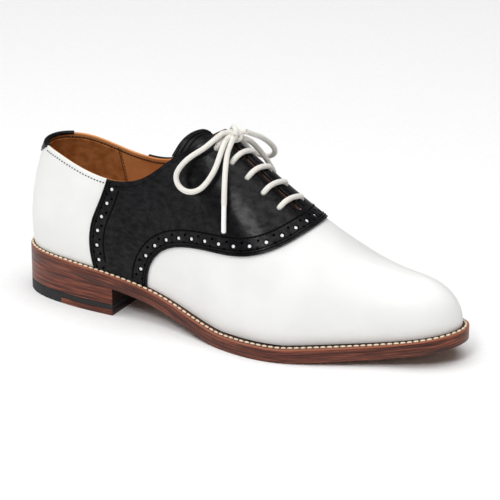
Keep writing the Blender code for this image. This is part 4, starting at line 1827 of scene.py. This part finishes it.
@dataclass
class Saddle:
    """Black saddle with its facings: punched bands, pinholes, stitches, eyelets and the bar tack."""

    last: Last
    blank: Pair = (0.048, 0.219)  # stations of the sheet that it is cut from
    fold_inner: float = -0.0004
    fold_rise: float = 0.0008
    hole: float = 0.00178
    hole_inset: float = 0.0054
    hole_floor: float = -0.0006
    hole_pitch: float = 0.0103
    hole_ends: Pair = (0.011, 0.011)  # bare lengths at the front band's ends
    rear_pitch: float = 0.0097
    rear_ends: Pair = (0.0036, 0.002)
    underlay: float = 0.0009  # how far off the last the white shows through the holes
    # The white is smaller than the hole, so that a ring of painted shade shows round it
    underlay_size: float = 0.00105
    ring_drop: float = 0.0001  # the ring of painted shade lies this far under the white
    pin: float = 0.00095
    pin_spread: float = 0.0023
    pin_lean: float = 0.25  # the share of its spread that a pair leans along the band
    pin_floor: float = 0.0006  # how far off the last a pinhole ends
    punch_top: float = 0.004
    inner_line: float = 0.0104
    line_end: float = 0.002  # the inner line stops this far from the welt and the collar
    edge_lines: Pair = (0.0013, 0.0029)
    facing_line: float = 0.0027
    facing_start: float = 0.002  # from the rear edge to the facing's stitches
    tack_stations: Pair = (0.1945, 0.1985)
    tack_reach: float = 0.0048
    # The saddle's grooves are flat strips of painted shade: their lift off the face, and their widths
    groove_lift: float = 0.00005
    inner_groove: float = 0.0009
    outer_groove: float = 0.0007
    fine_pitch: float = 0.0022
    fine_stitch: Triple = (0.0017, 0.0006, 0.0006)
    bold_pitch: float = 0.0024
    bold_stitch: Triple = (0.0020, 0.0014, 0.0006)

    @property
    def face(self) -> float:
        """How far off the last the saddle's face lies."""
        return GAP + self.last.saddle_thick

    def front(self) -> Trail:
        """Draws the front edge, from the lateral welt over the ridge to the medial welt."""
        lateral, medial = (self.last.side_trail(SADDLE_FRONT, side) for side in Side)
        return lateral.then(medial.back())

    def rears(self) -> list[Trail]:
        """Draws the two rear edges, with the saddle on the left of each."""
        lateral, medial = (self.last.side_trail(SADDLE_REAR, side) for side in Side)
        return [lateral, medial.back()]

    def outline(self) -> list[Pair]:
        """Gives the saddle's outline from the side."""
        rear, front = outline_through(SADDLE_REAR, 60), outline_through(SADDLE_FRONT, 140)
        return [*rear, *front, (front[-1][0], FAR), (rear[0][0], FAR)]

    def holes(self) -> tuple[Trail, Trail]:
        """Places the punching of the three bands.

        Returns:
            The holes, and the pinholes that lie in pairs between them.
        """
        lateral, medial = (self.last.beside(edge, self.hole_inset) for edge in self.rears())
        holes, pins = Trail(), Trail()
        for line, pitch, (start, stop) in (
            (self.last.beside(self.front(), self.hole_inset), self.hole_pitch, self.hole_ends),
            (lateral, self.rear_pitch, self.rear_ends),
            (medial.back(), self.rear_pitch, self.rear_ends),
        ):
            holes = holes.then(line.spaced(pitch, start, stop))
            gaps = line.spaced(pitch, start - pitch / 2)
            for k, (place, normal) in enumerate(zip(gaps.places, gaps.normals)):
                across = normal.cross(gaps.along(k)).normalized()
                for spread in (-self.pin_spread, self.pin_spread):
                    lean = gaps.along(k) * spread * self.pin_lean
                    pins.add(*self.last.surface.find_nearest(place + across * spread + lean)[:2])
        return holes, pins

    def punches(self) -> Shape:
        """Makes the punches of the bands.

        Returns:
            The punches of the holes and pinholes in one shape.
        """
        cutter = bmesh.new()
        holes, pins = self.holes()
        for place, normal in zip(holes.places, holes.normals):
            punch(cutter, place, normal, self.hole, self.hole_floor, self.punch_top, sides=18)
        for place, normal in zip(pins.places, pins.normals):
            punch(cutter, place, normal, self.pin, self.pin_floor, self.punch_top, sides=10)
        return cutter

    def discs(self, spots: Trail, radius: float) -> Shape:
        """Makes a disc at each spot.

        Args:
            spots: where the discs lie.
            radius: their radius.

        Returns:
            The discs in one shape.
        """
        unit = bmesh.new()
        bmesh.ops.create_circle(unit, cap_ends=True, segments=18, radius=radius)
        turned = zip(spots.places, spots.normals)
        return repeated(unit, [Matrix.Translation(place) @ upright(normal) for place, normal in turned])

    def facing_turns(self, side: Side, start: float) -> list[float]:
        """Gives the ribs of one facing, from an x at the collar to the throat."""
        first = self.last.collar_turn(start, side)
        return self.last.turns(self.last.station_at(first), self.last.throat, 90)[:-1]

    def facing_lines(self) -> list[Trail]:
        """Draws the stitch lines along the lacing gap and under the collar."""
        start = self.last.saddle_rear + self.facing_start
        return [self.last.edge_trail(self.facing_turns(s, start), s, self.facing_line) for s in Side]

    def tack_lines(self) -> list[Trail]:
        """Draws the bar tack under the lacing gap.

        Returns:
            Its two rows.
        """
        lines, probe = [], 0.001
        for station in self.tack_stations:
            trail = Trail()
            for reach in steps(-self.tack_reach, self.tack_reach, 13):
                place = self.last.off_ridge(station, reach, 0.0)
                trail.add(place, (self.last.off_ridge(station, reach, probe) - place).normalized())
            lines.append(trail)
        return lines

    def seams(self) -> tuple[Shape, Shape]:
        """Sews the saddle's lines.

        Returns:
            The flat strips of painted groove shade, and the stitches in them.
        """
        last, face = self.last, self.face
        edges = [self.front(), *self.rears()]
        short = (STRIP_STEP, self.line_end, self.line_end)
        inner = [last.beside(edge, self.inner_line).spaced(*short).lifted(face) for edge in edges]
        outer = [last.beside(edge, inset).lifted(face) for edge in edges for inset in self.edge_lines]
        sewn = [*outer, *[line.lifted(face) for line in (*self.facing_lines(), *self.tack_lines())]]
        grooves = [
            ribbon([line.lifted(self.groove_lift) for line in lines], width)
            for lines, width in ((inner, self.inner_groove), (outer, self.outer_groove))
        ]
        fine = stitched(sewn, self.fine_pitch, self.fine_stitch)
        bold = stitched(inner, self.bold_pitch, self.bold_stitch)
        return joined(grooves), joined([fine, bold])

    def build(self) -> list[Piece]:
        """Builds the saddle.

        Returns:
            Its pieces.
        """
        sheet = self.last.sheet(*self.blank, 120, 60, self.face)
        cutters = [
            (prism(self.outline(), 1, -FAR, FAR), Cut.KEEP),
            (self.punches(), Cut.REMOVE),
            (self.last.eyelet_punches(), Cut.REMOVE),
        ]
        leather = carved(sheet, self.last.saddle_thick, cutters)
        pieces = [make_piece("saddle_leather", leather, BLACK_CALF, Slot.BLACK, ["saddle"])]
        for side in Side:
            ribs = [(turn, side) for turn in self.facing_turns(side, self.last.saddle_rear)]
            fold = self.last.rolled_edge(ribs, self.face, self.fold_inner, self.fold_rise)
            pieces.append(make_piece(f"saddle_fold_{side.name.lower()}", fold, BLACK_CALF, Slot.BLACK))
        holes, pins = self.holes()
        # Dark discs of painted shade: a ring round the white in each hole, and a disc at the foot of each
        # pinhole
        rings = self.discs(holes.lifted(self.underlay - self.ring_drop), self.hole)
        pin_shade_discs = self.discs(pins.lifted(self.pin_floor + self.groove_lift), self.pin)
        light = self.discs(holes.lifted(self.underlay), self.underlay_size)
        grooves, sewn = self.seams()
        return [
            *pieces,
            make_piece("saddle_groove", grooves, GROOVE_SHADE_BLACK, Slot.BLACK),
            make_piece("hole_shadow_ring", joined([rings, pin_shade_discs]), GROOVE_SHADE_BLACK, Slot.BLACK),
            make_piece("hole_underlay", light, WHITE_CALF, Slot.WHITE),
            make_piece("saddle_stitches", sewn, BLACK_THREAD, Slot.BLACK),
        ]


@dataclass
class HeelTab:
    """Black half-moon at the top of the back seam, folded over the collar."""

    last: Last
    thick: float = 0.0007
    reach: float = 0.030
    behind_x: float = -0.1  # behind the shoe, from where lines are drawn on its back
    inset_way: Pair = (0.8, 0.6)  # how far an inset draws the outline in and up
    foot: float = 0.70  # the share of the last's height where its sheet begins
    fold_inside: float = 0.0003  # how far inside the wall the fold reaches
    fold_rise: float = 0.0012
    top_line: float = 0.0958  # height of the upper stitches at the middle
    top_fall: float = 0.10  # how they fall away from it
    top_half: float = 0.0132
    foot_line: float = 0.0945  # the lower stitches begin under this height
    foot_inset: float = 0.0022
    stitch_pitch: float = 0.0019
    top_stitch: Triple = (0.0012, 0.0006, 0.0005)
    foot_stitch: Triple = (0.0013, 0.0006, 0.0005)
    # The back seam's strip of painted shade: its ends, its lift and its width
    seam_heights: Pair = (0.0872, 0.0334)
    seam_lift: float = 0.0001
    seam_width: float = 0.0005

    def outline(self, inset: float = 0.0) -> list[Pair]:
        """Gives the tab's outline from behind.

        Args:
            inset: how far it is drawn in at its sides and foot.

        Returns:
            The y and z of its points.
        """
        (across, up), edge = self.inset_way, outline_through(HEEL_TAB, 40)
        side = [(max(0.0, y - inset * across), z + inset * up) for y, z in edge]
        return [*side, *[(-y, z) for y, z in reversed(side)]]

    def behind(self, spots: Sequence[Pair]) -> Trail:
        """Draws on the back of the last a line that is given from behind.

        Args:
            spots: y and z of points on the line.

        Returns:
            The line.
        """
        trail = Trail()
        for y, z in spots:
            start, way = Vector((self.behind_x, y, z)), Vector((1.0, 0.0, 0.0))
            place, normal, _, _ = self.last.surface.ray_cast(start, way)
            if place is not None:
                trail.add(place, normal)
        return trail

    def collar_ribs(self) -> list[Rib]:
        """Gives the collar's ribs across the tab.

        Returns:
            The ribs, from the lateral side to the medial side.
        """
        ribs: list[Rib] = []
        for side in Side:
            turns = steps(0.0, self.last.turn_at(self.reach), 80)
            tops = [self.last.on_rib(t, side, self.last.rib_end(t, side)) for t in turns]
            kept = [(t, side) for t, top in zip(turns, tops) if abs(top.y) < HEEL_TAB[1][0]]
            ribs = ribs + kept[1:] if ribs else kept[::-1]
        return ribs

    def build(self) -> list[Piece]:
        """Builds the tab, and a thin grey strip of painted shade for the seam under it.

        Returns:
            Their pieces.
        """
        last, face = self.last, GAP / 2 + self.thick
        sheet = last.sheet(0.0, self.reach, 44, 50, face, start=self.foot)
        shape = carved(sheet, self.thick, [(prism(self.outline(), 0, -self.reach, self.reach), Cut.KEEP)])
        fold = last.rolled_edge(self.collar_ribs(), face, -last.wall - self.fold_inside, self.fold_rise)
        spread = steps(-self.top_half, self.top_half, 40)
        top = [(y, self.top_line - self.top_fall * abs(y)) for y in spread]
        white = stitched([self.behind(top).lifted(face)], self.stitch_pitch, self.top_stitch)
        below = [spot for spot in self.outline(self.foot_inset) if spot[1] < self.foot_line]
        grey = stitched([self.behind(below).lifted(face)], self.stitch_pitch, self.foot_stitch)
        # The back seam is a flat grey strip: painted shade of the seam line
        seam = self.behind([(0.0, z) for z in steps(*self.seam_heights, 40)])
        line = ribbon([seam.lifted(self.seam_lift)], self.seam_width)
        return [
            make_piece("heel_tab_leather", shape, BLACK_CALF, Slot.BLACK, ["heel_tab"]),
            make_piece("heel_tab_fold", fold, BLACK_CALF, Slot.BLACK),
            make_piece("heel_tab_stitches", white, WHITE_THREAD, Slot.BLACK),
            make_piece("heel_tab_topstitch", grey, GREY_THREAD, Slot.BLACK),
            make_piece("back_seam", line, GREY_THREAD, Slot.WHITE),
        ]


@dataclass
class Tongue:
    """Black tongue under the facings, with a bound and stitched top."""

    last: Last
    thick: float = 0.0020
    columns: int = 40
    rows: int = 56
    binding: float = 0.0013
    binding_inset: float = 0.0004
    stitch_insets: Pair = (0.0042, 0.00756)
    stitch_pitch: float = 0.0022
    stitch: Triple = (0.0016, 0.0006, 0.0006)
    # The tongue's groove is a flat strip of painted shade: its width, and its lift off the face
    groove: float = 0.0009
    groove_lift: float = 0.00005

    def strips(self) -> list[list[Vector]]:
        """Draws the tongue's lengthwise lines.

        Returns:
            The lines, each from under the throat to the free edge.
        """
        made = []
        for k, tip in enumerate(curve_through(TONGUE_TIP, self.columns + 1)):
            share = 2 * k / self.columns - 1
            under = []
            for station, lateral, medial, air in TONGUE:
                reach = share * (medial if share > 0 else lateral)
                under.append(self.last.off_ridge(station, reach, -self.last.wall - GAP - air))
            made.append(curve_through([*under, tip], self.rows + 1))
        return made

    def stitch_line(self, strips: list[list[Vector]], inset: float) -> Trail:
        """Draws a stitch line along the tongue's top.

        Args:
            strips: the tongue's lengthwise lines.
            inset: how far the line lies from the free edge.

        Returns:
            The line.
        """
        trail = Trail()
        for k in range(2, self.columns - 1):
            run = strips[k]
            at = len(run) - 1 - inset / (run[-1] - run[-2]).length
            low = int(at)
            across = strips[k + 1][low] - strips[k - 1][low]
            out = across.cross(run[low + 1] - run[low]).normalized()
            trail.add(run[low].lerp(run[low + 1], at - low), out if out.z > 0 else -out)
        return trail

    def build(self) -> list[Piece]:
        """Builds the tongue.

        Returns:
            Its pieces.
        """
        strips = self.strips()
        sheet = laid_grid(self.columns, self.rows, lambda i, j: strips[i][j].copy())
        shape = carved(faced(sheet, lambda f: f.normal.z), self.thick, [])
        shape = marked(shape, lambda normal: normal.z < 0)
        edge = [run[-1] - (run[-1] - run[-2]).normalized() * self.binding_inset for run in strips]
        below = Vector((0.0, 0.0, -self.thick / 2))
        rim = [place + below for place in curve_through(edge, 60)]
        bound = tube(rim, [self.binding] * len(rim), sides=12)
        lines = [self.stitch_line(strips, inset) for inset in self.stitch_insets]
        groove = ribbon([line.lifted(self.groove_lift) for line in lines], self.groove)
        sewn = stitched(lines, self.stitch_pitch, self.stitch)
        return [
            make_piece("tongue_leather", shape, (BLACK_CALF, TAN_LINING), Slot.BLACK, ["tongue"]),
            make_piece("tongue_binding", bound, BLACK_CALF, Slot.BLACK),
            make_piece("tongue_groove", groove, GROOVE_SHADE_BLACK, Slot.BLACK),
            make_piece("tongue_stitches", sewn, BLACK_THREAD, Slot.BLACK),
        ]


@dataclass
class Laces:
    """Lace bars over the facings, and the bow with its knot, loops, ends and tips."""

    last: Last
    radius: float = 0.0017
    depth: float = -0.0022  # where a lace starts inside its eyelet, off the last
    # A bar's end in its eyelet: distance outwards from the eyelet's middle, and off the last
    bar_dip: tuple[Pair, ...] = ((0.0006, -0.0022), (-0.0002, 0.0006), (-0.0018, 0.0025))
    bar_landing: float = 0.0040  # from the eyelet in to where the bar lies on the facing
    bar_middle: Pair = (0.0062, 0.0028)  # places on the bar, from the ridge
    stub_mouth: float = 0.0004
    stub_lean: float = 0.93  # a rising lace leans in to this share of the eyelet's distance
    tip: float = 0.017
    tip_radius: float = 0.00152
    wrap: Pair = (0.0040, 0.0034)  # half-width and half-height of the knot's wrap
    throw: Pair = (0.0040, 0.0024)  # the same of the first throw under it
    throw_place: Triple = (0.0006, 0.0, -0.0022)  # from the knot's centre
    throw_arc: Pair = (0.2, math.tau - 0.4)
    winding_slide: float = 0.0008  # how far a winding slides along its axis

    @property
    def lift(self) -> float:
        """How far off the last the lace's middle runs on the facings."""
        return GAP + self.last.saddle_thick + GAP + self.radius

    def bar(self, station: float) -> list[Vector]:
        """Gives the route of one bar, up through an eyelet, over, and down through the other.

        Args:
            station: the eyelets' station.

        Returns:
            The route.
        """
        reach = self.last.eyelet_reach
        dip = [(reach + out, lift) for out, lift in self.bar_dip]
        half = [*dip, *[(out, self.lift) for out in (reach - self.bar_landing, *self.bar_middle)]]
        rows = [self.last.on_facing(station, -out, lift) for out, lift in half]
        rows += [self.last.on_facing(station, out, lift) for out, lift in half[::-1]]
        return curve_through(rows, 44)

    def stub(self, side: Side, end: Vector) -> list[Vector]:
        """Gives the route from a top eyelet up to the knot.

        Args:
            side: the shoe's side.
            end: where it meets the knot.

        Returns:
            The route.
        """
        reach, station = side.value * self.last.eyelet_reach, self.last.eyelet_first
        low = [self.last.on_facing(station, reach, lift) for lift in (self.depth, self.stub_mouth)]
        up = self.last.on_facing(station, reach * self.stub_lean, self.lift)
        return curve_through([*low, up, up.lerp(end, 0.5), end, end.lerp(KNOT_CENTRE, 0.6)], 30)

    def ring(self, centre: Vector, axis: Vector, size: Pair, arc: Pair) -> list[Vector]:
        """Gives a route that winds round an axis.

        Args:
            centre: the middle of the winding.
            axis: what it winds round.
            size: its half-width and half-height.
            arc: the angles where it begins and ends.

        Returns:
            The route.
        """
        axis = axis.normalized()
        across = axis.cross(UP).normalized()
        up = across.cross(axis).normalized()
        made = []
        for angle in steps(*arc, 40):
            slide = axis * self.winding_slide * math.sin(angle / 2)
            out, rise = across * size[0] * math.cos(angle), up * size[1] * math.sin(angle)
            made.append(centre + out + rise + slide)
        return made

    def lace(self, name: str, route: list[Vector], node: str) -> Piece:
        """Makes a tight length of lace along a route."""
        return make_piece(name, tube(route, [self.radius] * len(route)), COTTON, Slot.LACE, [node])

    def cord(self, name: str, rows: Sequence[Triple], node: str, tipped: bool) -> list[Piece]:
        """Args:
            name: the piece's name.
            rows: points on its route.
            node: the solid that it stands for.
            tipped: whether it ends in a dipped tip.

        Returns:
            The lace, and its tip.
        """
        route = curve_through(rows, 72)
        girths = [self.radius] * len(route)
        extra = []
        if tipped:
            run, k = 0.0, len(route) - 1
            while run < self.tip:
                run += (route[k] - route[k - 1]).length
                k -= 1
            # The lace thins inside its tip, and the tip's end is rounded off
            girths[k + 1 :] = [0.8 * self.tip_radius] * (len(route) - k - 1)
            way = [p.copy() for p in route[k:]]
            swell = [self.tip_radius] * len(way)
            swell[-1] = self.tip_radius * 0.7
            extra.append(make_piece(f"{name}_tip", tube(way, swell), LACE_TIP, Slot.LACE))
        piece = make_piece(name, tube(route, girths), COTTON, Slot.LACE, [node])
        runs_of(route)[-1]
        return [piece, *extra]

    def knot(self) -> Piece:
        """Makes the knot: a wrap round the loops, and the first throw under it.

        Returns:
            The knot in one piece.
        """
        along = Vector(LOOP_FAR[0]) - Vector(LOOP_NEAR[0])
        ways = [
            self.ring(KNOT_CENTRE, along, self.wrap, (0.0, math.tau)),
            self.ring(KNOT_CENTRE + Vector(self.throw_place), along.cross(UP), self.throw, self.throw_arc),
        ]
        # The laces that run through the knot, each with its height over the knot's centre
        for start, rise, stop in (
            (LOOP_NEAR[0], 0.0004, LOOP_FAR[0]),
            (LOOP_NEAR[-1], -0.0022, END_FAR[0]),
            (LOOP_FAR[-1], -0.0012, END_NEAR[0]),
        ):
            ways.append(curve_through([start, KNOT_CENTRE + rise * UP, stop], 20))
        shapes = [tube(way, [self.radius] * len(way)) for way in ways]
        return make_piece("lace_knot_wraps", joined(shapes), COTTON, Slot.LACE, ["lace_knot"])

    def build(self) -> list[Piece]:
        """Builds the laces.

        Returns:
            Their pieces.
        """
        pieces = []
        for name, rows, tipped in (
            ("loop_near", LOOP_NEAR, False),
            ("loop_far", LOOP_FAR, False),
            ("end_near", END_NEAR, True),
            ("end_far", END_FAR, True),
        ):
            pieces += self.cord(f"bow_{name}", rows, f"lace_{name}", tipped)
        for row, station in enumerate(self.last.eyelet_stations()[1:], 1):
            pieces.append(self.lace(f"lace_bar_{row}", self.bar(station), f"lace_crossing_{row}"))
        pieces.append(self.lace("lace_rise_near", self.stub(Side.LATERAL, STUB_NEAR), "lace_stub_near"))
        pieces.append(self.lace("lace_rise_far", self.stub(Side.MEDIAL, STUB_FAR), "lace_stub_far"))
        return [*pieces, self.knot()]


@dataclass(frozen=True)
class Softbox:
    """One soft studio lamp."""

    name: str
    place: Triple
    size: float
    power: float

    def build(self, aim: Vector) -> None:
        """Hangs the lamp and points it.

        Args:
            aim: the point that it shines at.
        """
        lamp = bpy.data.lights.new(self.name, "AREA")
        lamp.shape, lamp.size, lamp.energy = "DISK", self.size, self.power
        hung = bpy.data.objects.new(self.name, lamp)
        hung.location = self.place
        hung.rotation_euler = (aim - hung.location).to_track_quat("-Z", "Y").to_euler()
        bpy.context.scene.collection.objects.link(hung)


@dataclass(frozen=True)
class Studio:
    """White paper floor, soft lamps, and the camera at the photograph's angle."""

    camera: Triple = (0.6543, -1.2314, 0.5946)
    aim: Triple = (0.0, -0.000814, 0.040)
    lens: float = 173.7
    sensor: float = 36.0
    shift: Pair = (0.0172, 0.0192)
    floor_size: float = 12.0
    floor_steps: int = 4
    world: float = 0.17
    lamps: tuple[Softbox, ...] = (
        Softbox("softbox_over", (0.1, -0.05, 2.6), 3.8, 74.0),
        Softbox("softbox_key", (0.16, -1.2, 1.25), 0.50, 9.0),
        Softbox("softbox_fill", (-1.5, -1.3, 1.6), 1.0, 4.0),
        Softbox("softbox_side", (-1.28, -1.62, 0.46), 0.4, 2.0),
    )

    def floor(self) -> None:
        """Lays the paper floor."""
        count = self.floor_steps

        def place(i: int, j: int) -> Vector:
            """Lays one corner of the paper."""
            return Vector((i / count - 0.5, j / count - 0.5, 0.0)) * self.floor_size

        paper = as_object("paper_floor", laid_grid(count, count, place))
        paper.data.materials.append(PAPER.material())

    def light(self) -> None:
        """Hangs the lamps in a soft white room."""
        sky = bpy.data.worlds.new("soft_white_room")
        sky.use_nodes = True
        background = sky.node_tree.nodes["Background"]
        background.inputs["Color"].default_value = linear("#FFFFFF")
        background.inputs["Strength"].default_value = self.world
        bpy.context.scene.world = sky
        for lamp in self.lamps:
            lamp.build(Vector(self.aim))

    def build(self) -> None:
        """Builds the floor, the light and the camera."""
        scene = bpy.context.scene
        scene.view_settings.view_transform = "Standard"
        self.floor()
        self.light()
        lens = bpy.data.cameras.new("camera")
        lens.lens, lens.sensor_width = self.lens, self.sensor
        lens.shift_x, lens.shift_y = self.shift
        eye = bpy.data.objects.new("camera", lens)
        eye.location = self.camera
        eye.rotation_euler = (Vector(self.aim) - eye.location).to_track_quat("-Z", "Y").to_euler()
        scene.collection.objects.link(eye)
        scene.camera = eye


def main() -> None:
    """Builds the shoe's pieces in order."""
    logging.basicConfig(level=logging.INFO, format="%(relativeCreated)6d ms  %(message)s")
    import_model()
    Studio().build()
    last = Last()
    sole = Sole(last)
    count = 0
    for part in (Laces(last), sole, Heel(sole), Upper(last), Saddle(last), HeelTab(last), Tongue(last)):
        made = part.build()
        count += len(made)
        LOG.info("%s has %d pieces", type(part).__name__, len(made))
    LOG.info("%d pieces", count)


if __name__ == "__main__":
    main()
